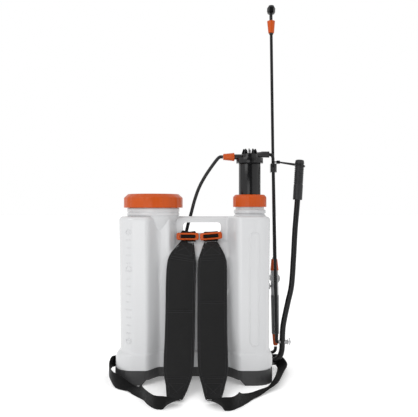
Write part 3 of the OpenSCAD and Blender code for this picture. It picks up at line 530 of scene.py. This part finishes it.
MATERIALS = {
    "tank": plastic("milky_polyethylene", (0.53, 0.534, 0.542), 0.24, grain=0.01, grain_scale=300,
                    vary=0.004, scuffs=0.02, peel=0.004, specular=0.6),
    "orange": plastic("orange_plastic", (0.43, 0.060, 0.002), 0.3, grain=0.03, grain_scale=700,
                      vary=0.05, scuffs=0.06, peel=0.02, specular=0.28),
    "black": plastic("black_plastic", (0.006, 0.006, 0.0065), 0.2, grain=0.03, grain_scale=700,
                     vary=0.2, scuffs=0.06, peel=0.02, specular=0.36),
    "base": plastic("base_plastic", (0.033, 0.033, 0.034), 0.42, grain=0.3, grain_scale=1400,
                    vary=0.12, scuffs=0.12, peel=0.04, specular=0.4),
    "handle": plastic("handle_plastic", (0.098, 0.098, 0.100), 0.36, grain=0.3, grain_scale=1400,
                      vary=0.12, scuffs=0.12),
    "grey": plastic("grey_plastic", (0.34, 0.34, 0.345), 0.32, vary=0.06),
    "inner": plastic("plain_plastic", (0.70, 0.70, 0.69), 0.4),
    "paint": paint("black_paint", (0.006, 0.006, 0.0065), 0.22),
    "steel": metal("bright_steel", (0.62, 0.62, 0.63), 0.28),
    "seal": rubber("seal_rubber", (0.02, 0.02, 0.02), 0.6),
    "hose": rubber("hose_rubber", (0.007, 0.007, 0.0075), 0.34),
    "grip": rubber("grip_rubber", (0.018, 0.018, 0.019), 0.4),
    "pad": pad_cloth("pad_fabric"),
    "webbing": webbing_cloth("webbing_fabric"),
    "binding": rubber("binding_tape", (0.011, 0.011, 0.0115), 0.62),
    "thread": rubber("thread", (0.032, 0.032, 0.034), 0.55),
}


# ---- Hose and lower webbing ----


def make_hose():
    path = smooth_path(HOSE_POINTS, 5)
    obj = tube("spray_hose", path, HOSE_D / 2, 20)
    obj.data.materials.append(MATERIALS["hose"])
    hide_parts("hose")
    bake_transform(obj)


def make_tails():
    for name, stops in TAILS.items():
        centres = smooth_path([s[0] for s in stops], 6)
        sides = smooth_path([s[1] for s in stops], 6)
        obj = band_object(name + "_webbing", list(zip(centres, sides)), TAIL_W, TAIL_T)
        finish_piece(obj, "sprayer", MATERIALS["webbing"], "webbing", name)


# ---- Tank ----

# How far the tank stands in at both faces above its bulge, and its left side at the bulge and above
LEDGE = 4
LOW_SHIFT, HIGH_SHIFT = 2, 5

# The tank's (height, width)
TANK_WIDTH = [
    (TANK_BOTTOM, BULGE_W - 3), (39, BULGE_W), (63, BULGE_W), (66, BULGE_W - 1.2), (70, BULGE_W - 4.5),
    (74, BULGE_W - 8.5), (78, BULGE_W - 12.5), (82, WAIST_W + 1), (86, WAIST_W),
    (310, (WAIST_W + TANK_W) / 2), (350, TANK_W - 2), (400, TANK_W), (SHOULDER_Z, TANK_W),
]


def between_lobes(x):
    """1 between the two lobes, and 0 on them."""
    return soft_step((118 - abs(x)) / 34)


def along_web(x):
    """1 along the web with the hand hole, and 0 to both sides of it."""
    return soft_step((x + 64) / 20) * soft_step((106 - x) / 20)


def shoulder_inset(z):
    """How far the round of the upper edge stands in at a height."""
    r = 10
    high = z - (SHOULDER_Z - r)
    return r - math.sqrt(max(r * r - high * high, 0)) if high > 0 else 0


def emboss(x, z):
    """A raised round plate in the middle of the wearer's side, with a soft rim."""
    plate_x, plate_z, plate_r, plate_h = 5, 262, 92, 2.6
    gap = plate_r - math.hypot(x - plate_x, z - plate_z)
    return plate_h * soft_step(gap / 4)


def tank_ring(z):
    """The tank's outline at a height."""
    a = lerp(TANK_WIDTH, z) / 2
    bulge = soft_step((80 - z) / 7)
    inset = shoulder_inset(z)
    a -= inset
    b = TANK_D / 2 - inset - LEDGE * (1 - bulge)
    r = CORNER_R - inset
    slope = soft_step((z - 308) / 44)
    ring = []
    n_front, n_rear, n_corner = 120, 60, 10
    for i in range(n_front + 1):
        x = (a - r) * (2 * i / n_front - 1)
        y = -b + LOBE_DEPTH * between_lobes(x) + FRONT_SLOPE * slope * along_web(x)
        ring.append(Vector((x, y - emboss(x, z) * between_lobes(x), z)))
    quarters = [(a - r, r - b, -90), (a - r, b - r, 0), (r - a, b - r, 90), (r - a, r - b, 180)]

    def turn(cx, cy, start, first, last):
        for i in range(first, last):
            t = math.radians(start + 90 * i / n_corner)
            ring.append(Vector((cx + r * math.cos(t), cy + r * math.sin(t), z)))

    turn(*quarters[0], 1, n_corner + 1)
    turn(*quarters[1], 0, n_corner)
    for i in range(n_rear + 1):
        x = (a - r) * (1 - 2 * i / n_rear)
        ring.append(Vector((x, b - REAR_SLOPE * slope * along_web(x), z)))
    turn(*quarters[2], 1, n_corner + 1)
    turn(*quarters[3], 0, n_corner)
    # The left side stands a little further in than the right
    shift = LOW_SHIFT + (HIGH_SHIFT - LOW_SHIFT) * (1 - bulge)
    for point in ring:
        point.x += shift * soft_step((-120 - point.x) / 60)
    return ring


def window_cutter():
    """The hand hole, flared at both faces of the web so that its rim comes out round."""
    flare = 5
    x0, x1, z0, z1 = WINDOW
    rows = [(-60, flare + 0.4), (-WEB_T / 2 - 0.3, flare + 0.2)]
    for k in range(7):
        t = math.radians(15 * k)
        rows.append((-(WEB_T / 2 - flare) - flare * math.cos(t), flare * (1 - math.sin(t))))
    rows += [(-y, off) for y, off in reversed(rows)]
    rings = []
    for y, off in rows:
        r = WINDOW_R + off
        ring = []
        for cx, cz, start in ((x1, z1, 0), (x0, z1, 90), (x0, z0, 180), (x1, z0, 270)):
            mid_x = cx - (WINDOW_R if cx == x1 else -WINDOW_R)
            mid_z = cz - (WINDOW_R if cz == z1 else -WINDOW_R)
            for i in range(9):
                t = math.radians(start + 90 * i / 8)
                ring.append(Vector((mid_x + r * math.cos(t), y, mid_z + r * math.sin(t))))
        rings.append(ring)
    return mesh_object("cutter", *loft(rings))


def front_y(x, z):
    """The wearer's side of the tank at a lobe or its round corner."""
    a = lerp(TANK_WIDTH, z) / 2
    b = TANK_D / 2 - LEDGE
    unshifted = x - HIGH_SHIFT * soft_step((-124 - x) / 60)
    over = max(abs(unshifted) - (a - CORNER_R), 0)
    return CORNER_R - b - math.sqrt(CORNER_R ** 2 - over ** 2)


def raised_line(name, points, radius=1.0):
    """A moulded bead that stands out from the tank's face by its radius."""
    path = [Vector((x, front_y(x, z) + 0.25, z)) for x, z in points]
    return tube(name, path, radius, 8, up=(0, 1, 0.01), ends=radius)


def oblong(x, low, high, half):
    """The outline of an upright oblong with round ends."""
    straight = 20
    points = []
    for centre, other, start in ((high - half, low + half, 0), (low + half, high - half, 180)):
        for i in range(13):
            t = math.radians(start + 15 * i)
            points.append((x + half * math.cos(t), centre + half * math.sin(t)))
        side_x = x + half * math.cos(math.radians(start + 180))
        for i in range(1, straight):
            points.append((side_x, centre + (other - centre) * i / straight))
    return points + [points[0]]


def tank_marks():
    """The oblong bead on one lobe, and the level marks on the other: ticks with three rings."""
    marks = [raised_line("bead", oblong(150.7, 96, 375, 11), 1.5)]
    scale_x, top_z, pitch = -160, 376, 19.1
    for i in range(15):
        half = 7.5 if i % 5 == 0 else 4.5
        tick = [(scale_x + half * (k / 4 - 1), top_z - pitch * i) for k in range(9)]
        marks.append(raised_line("tick", tick, 1.1))
    ring_r = 6.5
    for z in (top_z, 285, 108):
        angles = [2 * math.pi * k / 24 for k in range(25)]
        ring = [(scale_x + ring_r * math.cos(t), z + ring_r * math.sin(t)) for t in angles]
        marks.append(raised_line("ring", ring, 1.1))
    return marks


def neck(name, profile, segments, x, y):
    """A turned neck whose profile closes on itself, so it has an inner wall and no end faces."""
    obj = lathe(name, profile, segments, (x, y, 0))
    bm = bmesh.new()
    bm.from_mesh(obj.data)
    end_faces = [f for f in bm.faces if len(f.verts) > 8]
    bmesh.ops.delete(bm, geom=end_faces, context="FACES_ONLY")
    bm.verts.ensure_lookup_table()
    last = len(bm.verts) - segments
    for i in range(segments):
        j = (i + 1) % segments
        bm.faces.new([bm.verts[last + i], bm.verts[last + j], bm.verts[j], bm.verts[i]])
    bmesh.ops.recalc_face_normals(bm, faces=bm.faces)
    bm.to_mesh(obj.data)
    bm.free()
    return obj


def cut_away(body, cutter):
    turn_faces_out(cutter)
    cut = body.modifiers.new("cut", "BOOLEAN")
    cut.object = cutter
    cut.operation = "DIFFERENCE"
    cut.solver = "EXACT"
    apply_modifiers(body)
    bpy.data.objects.remove(cutter)


def tank_heights():
    """Heights of the tank's rings, close together where its outline changes."""
    heights = [TANK_BOTTOM, 38, 40, 44, 50, 56, 60, 61.5, 63, 64.5, 66, 68, 70]
    heights += [70 + i for i in range(1, 17)]
    heights += [86 + 4.93 * i for i in range(1, 46)]
    heights += [308 + 2.2 * i for i in range(1, 21)]
    heights += [356, 361, 366, 372, 378, 384, 390, 396, 400, 404]
    heights += [405.5, 407, 408.5, 410, 411.2, 412.3, 413.2, 413.8, SHOULDER_Z]
    return heights


def make_tank():
    body = mesh_object("tank_body", *loft([tank_ring(z) for z in tank_heights()]))
    turn_faces_out(body)
    filler_r, pump_r = 48.5, 33.3
    bore_low, bore_high = 60, 430
    cut_away(body, window_cutter())
    for r, segments, x, y in ((filler_r, 72, FILLER_X, 0), (pump_r, 64, PUMP_X, PUMP_Y)):
        cut_away(body, lathe("cutter", [(r, bore_low), (r, bore_high)], segments, (x, y, 0)))

    filler_profile = [
        (50, 366), (52, 376), (57, 390), (62, 402), (65, 410), (66, 415), (67.4, 416.5), (67.4, 421),
        (66, 424), (67.5, 426), (67.5, 433.5), (66, 435.6), (62, 435.8), (62, 459.5), (60.6, 462),
        (57, 462), (57, 412), (49, 380), (filler_r, 366),
    ]
    pump_profile = [
        (43, 408), (43, 413.5), (40.5, 416.5), (38.6, 419), (38.6, 421), (41.5, 422.5), (41.5, 429),
        (39.5, 431), (37, 431.4), (37, 453), (36, 455), (33.5, 455), (33.5, 408),
    ]
    filler = neck("filler_neck", filler_profile, 96, FILLER_X, 0)
    pump = neck("pump_neck", pump_profile, 80, PUMP_X, PUMP_Y)
    tank = join([body, *tank_marks(), filler, pump], "tank_shell")
    finish_piece(tank, "sprayer", MATERIALS["tank"], "tank_plastic", "tank")


# ---- Lid, collar and their ribs ----

def make_lid():
    n = 20

    def flats(r, z, a):
        """Shallow finger marks round the skirt."""
        depth = soft_step((z - 2) / 4) if r > 72 else 0
        return r - depth * abs(math.sin(a * n / 2)) ** 6

    profile = [
        (63.2, 27), (63.2, 0.6), (63.8, 0), (75.2, 0), (76, 0.8), (76, 24.4), (75.6, 25.6), (75, 26.4),
        (66.4, 34.4), (65.6, 34.9), (64.4, 35.2), (50, 35.5), (30, 35.8), (8, 36), (0.5, 36),
    ]
    lid = lathe("lid_shell", profile, 240, (FILLER_X, 0, 436), flats)
    finish_piece(lid, "lid_cap", MATERIALS["orange"], "orange_plastic", "lid")


def make_collar():
    n = 28

    def ribs(r, z, a):
        """Upright grooves between the ribs, on the outside only."""
        if r < 40:
            return r
        wave = 0.5 + 0.5 * math.cos(a * n)
        return r - 0.7 * wave ** 2 * soft_step((z - 2) / 3)

    profile = [
        (37.5, 21.5), (37.5, 0.5), (38, 0), (43, 0), (43.6, 0.6), (43.6, 23.5), (43.2, 25.5),
        (42.2, 27.4), (39.4, 30.6), (38.4, 31.6), (37, 32), (30.4, 32), (29.4, 31.4), (29.4, 21.5),
    ]
    collar = lathe("collar_shell", profile, 224, (PUMP_X, PUMP_Y, 438), ribs)
    finish_piece(collar, "sprayer", MATERIALS["orange"], "orange_plastic", "pump_collar")


# ---- Lever, link and grip ----

def make_lever():
    """The one bent bar of cross shaft and lever, and the grip on its upper end."""
    line = [
        (60, 28), (90, 28), (150, 28), (190, 28), (205, 28.2), (214, 29.5), (223, 34.5), (229.5, 44),
        (232.8, 57), (233.8, 72), (234.4, 94), (236, 118), (240, 142), (249.5, 186), (258.8, 230),
        (264, 303), (268, 377), (274.5, 457), (280.2, 554),
    ]
    path = smooth_path([(x, SHAFT_Y, z) for x, z in line], 5)
    lever = tube("lever_bar", path, 7.5, 28, ends=1)
    finish_piece(lever, "lever", MATERIALS["paint"], "black_metal", "lever_tube")

    low, high = Vector((274.5, SHAFT_Y, 457)), Vector((280.8, SHAFT_Y, 564.5))
    length = (high - low).length
    rib_n, rib_pitch = 11, 5.3
    rib = [(11.2, 0), (11.3, 0.7), (12.3, 1.3), (12.4, 2.2), (12.4, 3.2), (12.3, 4), (11.3, 4.6)]
    profile = [(7.9, 0.2), (11.6, 0.2), (12.4, 1), (12.4, 39), (12.1, 40.5), (11.4, 42)]
    for i in range(rib_n):
        profile += [(r, 43 + rib_pitch * i + z) for r, z in rib]
    profile += [(11.8, 102.2), (11.6, 104), (10.6, 105.6), (8.4, 106.9)]
    profile += [(5, length - 0.3), (0.5, length - 0.1)]
    grip = lathe("lever_handgrip", profile, 64)
    turn = Vector((0, 0, 1)).rotation_difference(high - low)
    grip.data.transform(Matrix.Translation(low * MM) @ turn.to_matrix().to_4x4())
    finish_piece(grip, "lever", MATERIALS["grip"], "grip_rubber", "lever_grip")


def make_link():
    top = rounded_path([(184, SHAFT_Y, 578), (209, SHAFT_Y, 578), (214, SHAFT_Y, 350)], 11, 12)
    low = rounded_path([(214, SHAFT_Y, 350), (219, SHAFT_Y, 78), (223.4, SHAFT_Y, 78)], 3.2, 8)
    rod = tube("link_bar", top + low[1:], 4.3, 24, ends=0.4)
    finish_piece(rod, "link", MATERIALS["paint"], "black_metal", "link_rod")


def block_object(name, size, centre, bevel):
    """A box with round edges."""
    bm = bmesh.new()
    bmesh.ops.create_cube(bm, size=1)
    bmesh.ops.scale(bm, vec=Vector(size) * MM, verts=bm.verts)
    bmesh.ops.translate(bm, vec=centre * MM, verts=bm.verts)
    bmesh.ops.bevel(bm, geom=bm.edges, offset=bevel * MM, segments=3, affect="EDGES", profile=0.5)
    mesh = bpy.data.meshes.new(name)
    bm.to_mesh(mesh)
    bm.free()
    return add_object(name, mesh)


def make_cable_tie():
    """A loop round the lever's grip, down a little towards the wand, with its head and cut tip."""
    centre = Vector((279.9, SHAFT_Y, 549))
    head = Vector((222, SHAFT_Y, 557.5))
    r = 14.4
    drop = 0.21
    line = [head + Vector((5, -1.8, -0.4))]
    for a in range(-118, 119, 8):
        t = math.radians(a)
        line.append(centre + Vector((r * math.cos(t), r * math.sin(t), -r * math.cos(t) * drop)))
    line.append(head + Vector((5, 1.8, -0.4)))
    stops = [(p, (0.2, 0, 1)) for p in smooth_path(line, 2)]
    strap = band_object("tie_strap", stops, 4.2, 1.2)
    tip_line = [head + Vector((x, -0.2 * x, 0.6 - 0.05 * x)) for x in (-4, -7, -10, -12)]
    tip = band_object("tie_tip", [(p, (0, 0, 1)) for p in tip_line], 3.6, 1.1)
    block = block_object("tie_head", (9.6, 7.6, 8.8), head + Vector((1, 0, 0)), 1.4)
    tie = join([strap, tip, block], "cable_tie_loop")
    finish_piece(tie, "lever", MATERIALS["black"], "black_plastic", "cable_tie")


# ---- Pads ----

# Places along a pad of the sewn lines across it, as heights or, on the ground, depths
SEAMS = {
    "left_pad": [("z", 308), ("z", 181), ("y", -145)],
    "right_pad": [("z", 309), ("z", 202), ("y", -145)],
}


class PadLine:
    """The middle line of a pad: its stations and the directions at each of them.

    A station is (centre, share of the full width, share of the full thickness), and its
    directions are (along the pad, across it, through it).
    """

    def __init__(self, name):
        self.name = name
        self.centres = smooth_path([(x, y, z) for x, (y, z, _, _) in zip(PAD_X[name], PAD_LINE)], 4)
        self.stations = [(c, *share) for c, share in zip(self.centres, self.shares(4))]
        self.frames = [self.directions(i) for i in range(len(self.centres))]

    def shares(self, steps):
        out = []
        for (_, _, w, t), (_, _, next_w, next_t) in zip(PAD_LINE, PAD_LINE[1:]):
            out += [(w + (next_w - w) * k / steps, t + (next_t - t) * k / steps) for k in range(steps)]
        return out + [PAD_LINE[-1][2:]]

    def directions(self, i):
        before, after = self.centres[max(i - 1, 0)], self.centres[min(i + 1, len(self.centres) - 1)]
        t = (after - before).normalized()
        side = Vector((1, 0, 0))
        side = (side - t * side.dot(t)).normalized()
        return t, side, t.cross(side)

    def nearest(self, co):
        return min(range(len(self.centres)), key=lambda i: (self.centres[i] - co).length_squared)

    def along_edge(self, side, inset):
        """Points at an inset from one long edge."""
        return [c + u * side * (PAD_W * w / 2 - inset)
                for (c, w, _), (_, u, _) in zip(self.stations, self.frames)]

    def outward(self, i):
        """The direction through the pad that faces away from the tank or the ground."""
        n = self.frames[i][2]
        return n if n.y < 0 or n.z > 0.5 else -n

    def seam_distance(self, co):
        """Distance in millimetres from a point to the nearest sewn line."""
        best = 1e3
        for kind, value in SEAMS[self.name]:
            if kind == "z" and co.y > -110:
                best = min(best, abs(co.z - value))
            if kind == "y" and co.z < 90:
                best = min(best, abs(co.y - value))
        return best


def swell(obj, pinned):
    """Remeshes the pad and swells it as cloth, with the pinned points held."""
    remesh = obj.modifiers.new("remesh", "REMESH")
    remesh.mode = "VOXEL"
    remesh.voxel_size = 0.0042
    apply_modifiers(obj)
    group = obj.vertex_groups.new(name="pin")
    start = [v.co.copy() for v in obj.data.vertices]
    for v in obj.data.vertices:
        if pinned(v.co / MM):
            group.add([v.index], 1.0, "REPLACE")
    cloth = obj.modifiers.new("cloth", "CLOTH")
    settings = cloth.settings
    settings.quality = 5
    settings.mass = 0.25
    settings.tension_stiffness = 12
    settings.compression_stiffness = 12
    settings.shear_stiffness = 6
    settings.bending_stiffness = 0.4
    settings.use_pressure = True
    settings.uniform_pressure_force = 4
    settings.vertex_group_mass = "pin"
    settings.effector_weights.gravity = 0
    cloth.collision_settings.use_collision = False
    scene = bpy.context.scene
    for f in range(1, 21):
        scene.frame_set(f)
    depsgraph = bpy.context.evaluated_depsgraph_get()
    moved = [v.co.copy() for v in obj.evaluated_get(depsgraph).data.vertices]
    obj.modifiers.clear()
    # No point moves further than this, in metres
    cap = 0.0045
    for v, a, b in zip(obj.data.vertices, start, moved):
        step = b - a
        v.co = a + (step * (cap / step.length) if step.length > cap else step)
    scene.frame_set(1)


def make_cushion(line):
    """The padded piece: a rounded skin that swells as cloth between its edges and sewn lines."""
    rings = []
    for (c, w, h), (_, u, v) in zip(line.stations, line.frames):
        half_w, half_t = PAD_W * w / 2 - 0.9, PAD_T * h / 2 * 0.82
        ring = []
        for k in range(28):
            a = 2 * math.pi * k / 28
            ca, sa = math.cos(a), math.sin(a)
            across = math.copysign(abs(ca) ** 0.55, ca)
            through = math.copysign(abs(sa) ** 0.75, sa)
            ring.append(c + u * half_w * across + v * half_t * through)
        rings.append(ring)
    pad = mesh_object(line.name + "_cushion", *loft(rings))

    def pinned(co):
        i = line.nearest(co)
        edge = abs((co - line.centres[i]).dot(line.frames[i][1])) > PAD_W * line.stations[i][1] / 2 - 5
        return edge or line.seam_distance(co) < 3 or i < 10 or i > len(line.centres) - 7

    swell(pad, pinned)
    subdivide = pad.modifiers.new("subdivide", "SUBSURF")
    subdivide.levels = subdivide.render_levels = 1
    apply_modifiers(pad)
    seam_w, seam_depth = 5, 1.5
    for v in pad.data.vertices:
        co = v.co / MM
        i = line.nearest(co)
        gap = line.seam_distance(co)
        if gap < seam_w:
            depth = seam_depth * (1 - soft_step(gap / seam_w)) * max(line.stations[i][2], 0.3)
            offset = (co - line.centres[i]).dot(line.frames[i][2])
            v.co -= line.frames[i][2] * math.copysign(min(depth, abs(offset) * 0.5), offset) * MM
    pad.data.shade_smooth()
    finish_piece(pad, "sprayer", MATERIALS["pad"], "pad_fabric", line.name)
    return pad


def make_binding(line):
    """The tape round both long edges."""
    radii = [max(2.2 * h, 1.2) for _, _, h in line.stations]
    edges = []
    for side in (1, -1):
        path = smooth_path(line.along_edge(side, 2.2), 1)
        edges.append(tube("edge", path, radii, 10, up=(1, 0.01, 0), ends=1.5))
    binding = join(edges, line.name + "_binding")
    finish_piece(binding, "sprayer", MATERIALS["binding"], "webbing")


class Stitcher:
    """Lays short threads on the face of a pad."""

    def __init__(self, pad):
        self.tree = BVHTree.FromObject(pad, bpy.context.evaluated_depsgraph_get())
        self.threads = []

    def surface(self, point, normal):
        """Where the line through a point along a normal meets the pad's face, if it does."""
        for sign in (-1, 1):
            hit, n, _, _ = self.tree.ray_cast((point + normal * sign * 30) * MM, normal * -sign)
            if hit is not None and n.y < 0.2:
                return hit / MM, n
        return None, None

    def run(self, points, normals, pitch=4.2):
        """Threads along a line of points."""
        for (a, b), n in zip(zip(points, points[1:]), normals):
            count = max(int((b - a).length / pitch), 1)
            for k in range(count):
                start, face = self.surface(a + (b - a) * (k / count), n)
                end, _ = self.surface(a + (b - a) * ((k + 0.62) / count), n)
                if start is None or end is None or (end - start).length > 2 * pitch:
                    continue
                path = [start + face * 0.05, (start + end) / 2 + face * 0.35, end + face * 0.05]
                self.threads.append(tube("stitch", path, 0.36, 6, up=(0.3, 0.5, 0.8)))


def make_stitches(line, pad):
    stitcher = Stitcher(pad)
    for side in (1, -1):
        points = line.along_edge(side, 6.5)
        picked = range(14, len(points) - 6)
        stitcher.run([points[i] for i in picked], [line.outward(i) for i in picked])
    # Two rows beside each sewn line across
    for kind, value in SEAMS[line.name]:
        axis = 2 if kind == "z" else 1
        i = min(range(len(line.centres)), key=lambda k: abs(line.centres[k][axis] - value))
        c, w, _ = line.stations[i]
        along, across, _ = line.frames[i]
        half = PAD_W * w / 2 - 5
        for shift in (-2.6, 2.6):
            middle = c + along * shift
            stitcher.run([middle - across * half, middle, middle + across * half], [line.outward(i)] * 2)
    # A crossed box sewn into each narrow end
    for top, low in ((4, 13), (48, 54)):
        corners = []
        for i in (top, low):
            c, w, _ = line.stations[i]
            reach = line.frames[i][1] * PAD_W * w * 0.34
            corners += [c - reach, c + reach]
        a, b, c, d = corners
        n = line.outward((top + low) // 2)
        for start, stop in ((a, b), (c, d), (a, c), (b, d), (a, d), (b, c)):
            stitcher.run([start, (start + stop) / 2, stop], [n, n], 3.6)
    if stitcher.threads:
        stitches = join(stitcher.threads, line.name + "_stitches")
        finish_piece(stitches, "sprayer", MATERIALS["thread"], "webbing")


def make_pad(name):
    line = PadLine(name)
    pad = make_cushion(line)
    make_binding(line)
    make_stitches(line, pad)


# ---- Buckles and upper webbing ----

# Each buckle as (x, height, tilt in degrees), and where its webbing passes its slot and ends behind
BUCKLES = {"left": (-16.5, 362.5, 0), "right": (43.6, 363.5, -5)}
SLOT_X = {"left": -14.5, "right": 43}
ANCHOR_X = {"left": -9.5, "right": 42}


def rounded_outline(w, h, r, steps=6):
    """A rectangle with round corners."""
    pts = []
    for sx, sz, start in ((1, 1, 0), (-1, 1, 90), (-1, -1, 180), (1, -1, 270)):
        for i in range(steps + 1):
            t = math.radians(start + 90 * i / steps)
            pts.append((sx * (w / 2 - r) + r * math.cos(t), sz * (h / 2 - r) + r * math.sin(t)))
    return pts


def slider_frame(w, h, slot_w, slot_h, half_t):
    """A thick flat frame round one slot, with round edges everywhere."""
    def depth(c):
        return -half_t * c if abs(c) > 0.9 else -(half_t - 0.25) * c

    rows = []
    for a in (0, 30, 60, 90, 120, 150, 180):
        s, c = math.sin(math.radians(a)), math.cos(math.radians(a))
        off = 1.6 * (1 - s)
        rows.append((w - 2 * off, h - 2 * off, 5 - off, depth(c)))
    for a in (180, 150, 120, 90, 60, 30, 0):
        s, c = math.sin(math.radians(a)), math.cos(math.radians(a))
        off = 1.2 * (1 - s)
        rows.append((slot_w + 2 * off, slot_h + 2 * off, 2.6 + off, depth(c)))
    rings = [[Vector((x, y, z)) for x, z in rounded_outline(rw, rh, r)] for rw, rh, r, y in rows]
    verts, faces = loft(rings, caps=False)
    n = len(rings[0])
    last = (len(rings) - 1) * n
    faces += [(last + k, last + (k + 1) % n, (k + 1) % n, k) for k in range(n)]
    return mesh_object("frame", verts, faces)


def make_buckles():
    parts = []
    for x, z, tilt in BUCKLES.values():
        outer = slider_frame(57, 18.6, 39, 8.6, 2.2)
        bar = tube("bar", [Vector((s, 0, 0)) for s in (-24, -12, 0, 12, 24)], 1.4, 12, up=(0, 0, 1))
        turn = Matrix.Rotation(math.radians(tilt), 4, "Y")
        both = join([outer, bar], "buckle")
        both.data.transform(Matrix.Translation(Vector((x, -22.2, z)) * MM) @ turn)
        parts.append(both)
    buckles = join(parts, "buckle_frames")
    turn_faces_out(buckles)
    finish_piece(buckles, "sprayer", MATERIALS["orange"], "orange_plastic", "strap_buckles")


def make_upper_webbing():
    """Webbing from each pad through its buckle and over the web to the anchor behind."""
    # Round the buckle as (y, height above its middle), then over the web as (y, z)
    in_buckle = [
        (-21.4, -13), (-20.0, -10.5), (-19.0, -8), (-19.0, -5.6), (-20.2, -3.5), (-22.8, -2.7),
        (-24.6, -1.7), (-25.0, 0), (-24.6, 1.7), (-22.8, 2.7), (-20.2, 3.5), (-19.0, 5.6),
        (-18.4, 8), (-17, 10),
    ]
    over_web = [
        (-13.2, 373.8), (-9, 372.6), (0, 372.1), (8.6, 372), (12.6, 370.6), (15.1, 366.4),
        (15.3, 361), (15.3, 355),
    ]
    width, narrow_share = 38, 0.74
    for side, (_, z, tilt) in BUCKLES.items():
        line = [(y, z + dz) for y, dz in in_buckle] + over_web
        turn = math.radians(tilt)
        stops = []
        for p in smooth_path([(y, h, 0) for y, h in line], 4):
            near = soft_step((-9 - p.x) / 10)
            centre = Vector((SLOT_X[side] * near + ANCHOR_X[side] * (1 - near), p.x, p.y))
            across = Vector((math.cos(turn * near), 0, -math.sin(turn * near)))
            stops.append((centre, across, narrow_share + (1 - narrow_share) * near))
        obj = band_object(side + "_buckle_webbing", stops, width, 1.5)
        finish_piece(obj, "sprayer", MATERIALS["webbing"], "webbing")
    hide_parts("upper_webbing")


# ---- CAD nodes that keep their shape ----

# Each node's material and the width of its bevelled edges
NODE_LOOKS = {
    "base": ("base", 0.9), "base_screws": ("steel", 0), "shaft_bushes": ("inner", 0.3),
    "strainer": ("black", 0.3), "lid_gasket": ("seal", 0), "lid_vent_valve": ("seal", 0.3),
    "pump_cylinder": ("inner", 0), "pump_gasket": ("seal", 0), "chamber_guide": ("inner", 0),
    "inlet_valve_seat": ("black", 0), "inlet_ball": ("steel", 0), "intake_strainer": ("black", 0.3),
    "air_chamber": ("black", 0.4), "pump_head": ("black", 0.6), "head_seal": ("seal", 0),
    "piston_tube": ("inner", 0), "piston": ("inner", 0), "piston_cup": ("seal", 0),
    "outlet_ball": ("steel", 0), "outlet_nut": ("orange", 0.6), "outlet_hose_tail": ("steel", 0),
    "lance_clip": ("black", 0.6), "crank_bush": ("grey", 0.5), "crank_pin": ("steel", 0.4),
    "crank_pin_clip": ("steel", 0.2), "shaft_washers": ("steel", 0.2), "shaft_split_pin": ("steel", 0),
    "lance_hook": ("grey", 0.6), "handle_nut": ("orange", 0.5), "lance_handle": ("handle", 0.8),
    "handle_filter": ("inner", 0), "valve_body": ("grey", 0.8), "valve_spindle": ("steel", 0),
    "valve_spring": ("steel", 0), "trigger": ("handle", 0.8), "trigger_pin": ("steel", 0.2),
    "wand_nut": ("orange", 0.5), "wand_tube": ("paint", 0), "wand_seal": ("seal", 0.2),
    "nozzle_nut": ("orange", 0.5), "nozzle": ("black", 0.7), "webbing_anchors": ("orange", 0.6),
    "tail_loops": ("base", 0.7),
}


# ---- Camera, floor and light ----

def add_camera():
    data = bpy.data.cameras.new("camera")
    data.lens = 49.7
    data.sensor_width = 36
    data.clip_end = 50
    camera = add_object("camera", data)
    camera.location = (0.0385, -1.5, 0.434)
    camera.rotation_euler = (math.radians(90), 0, 0)
    bpy.context.scene.camera = camera


def add_floor():
    half = 30000
    corners = [(-half, -half, 0), (half, -half, 0), (half, half, 0), (-half, half, 0)]
    floor = mesh_object("floor", corners, [(0, 1, 2, 3)], False)
    n = Nodes("floor")
    n.colour(n.tint(n.noise(3), (0.90, 0.90, 0.90), (0.92, 0.92, 0.92)))
    n.set("Roughness", 0.9)
    n.set("Specular IOR Level", 0.1)
    n.set("Emission Color", (1, 1, 1, 1))
    n.set("Emission Strength", 0.24)
    floor.data.materials.append(n.material)


def add_card():
    """A dark card behind the camera, seen only in reflections, as between two soft boxes."""
    left, right, y, low, high = -1500, 1350, -2900, -100, 2600
    corners = [(left, y, low), (right, y, low), (right, y, high), (left, y, high)]
    card = mesh_object("card", corners, [(0, 1, 2, 3)], False)
    n = Nodes("card")
    n.colour(n.tint(n.noise(3), (0.01, 0.01, 0.01), (0.012, 0.012, 0.012)))
    n.set("Roughness", 1.0)
    n.set("Specular IOR Level", 0.0)
    card.data.materials.append(n.material)
    card.visible_camera = False
    card.visible_diffuse = False
    card.visible_shadow = False


def add_light(name, place, target, energy, size):
    data = bpy.data.lights.new(name, "AREA")
    data.energy = energy
    data.size = size
    light = add_object(name, data)
    light.location = place
    light.rotation_euler = (Vector(target) - light.location).to_track_quat("-Z", "Y").to_euler()


def add_world():
    world = bpy.data.worlds.new("world")
    world.use_nodes = True
    background = world.node_tree.nodes["Background"]
    background.inputs["Color"].default_value = (1, 1, 1, 1)
    background.inputs["Strength"].default_value = 1.0
    bpy.context.scene.world = world
    bpy.context.scene.view_settings.view_transform = "Standard"


add_camera()
make_hose()
make_tails()
make_tank()
make_lid()
make_collar()
make_lever()
make_link()
make_cable_tie()
for pad_name in PAD_X:
    make_pad(pad_name)
make_buckles()
make_upper_webbing()
for node, (look, bevel) in NODE_LOOKS.items():
    dress(node, MATERIALS[look], bevel)
add_floor()
add_card()
add_world()
add_light("key", (-1.3, -1.6, 1.9), (0, 0, 0.3), 14, 1.4)
add_light("low_fill", (-0.5, -2.2, 0.35), (0, 0, 0.1), 7, 1.0)
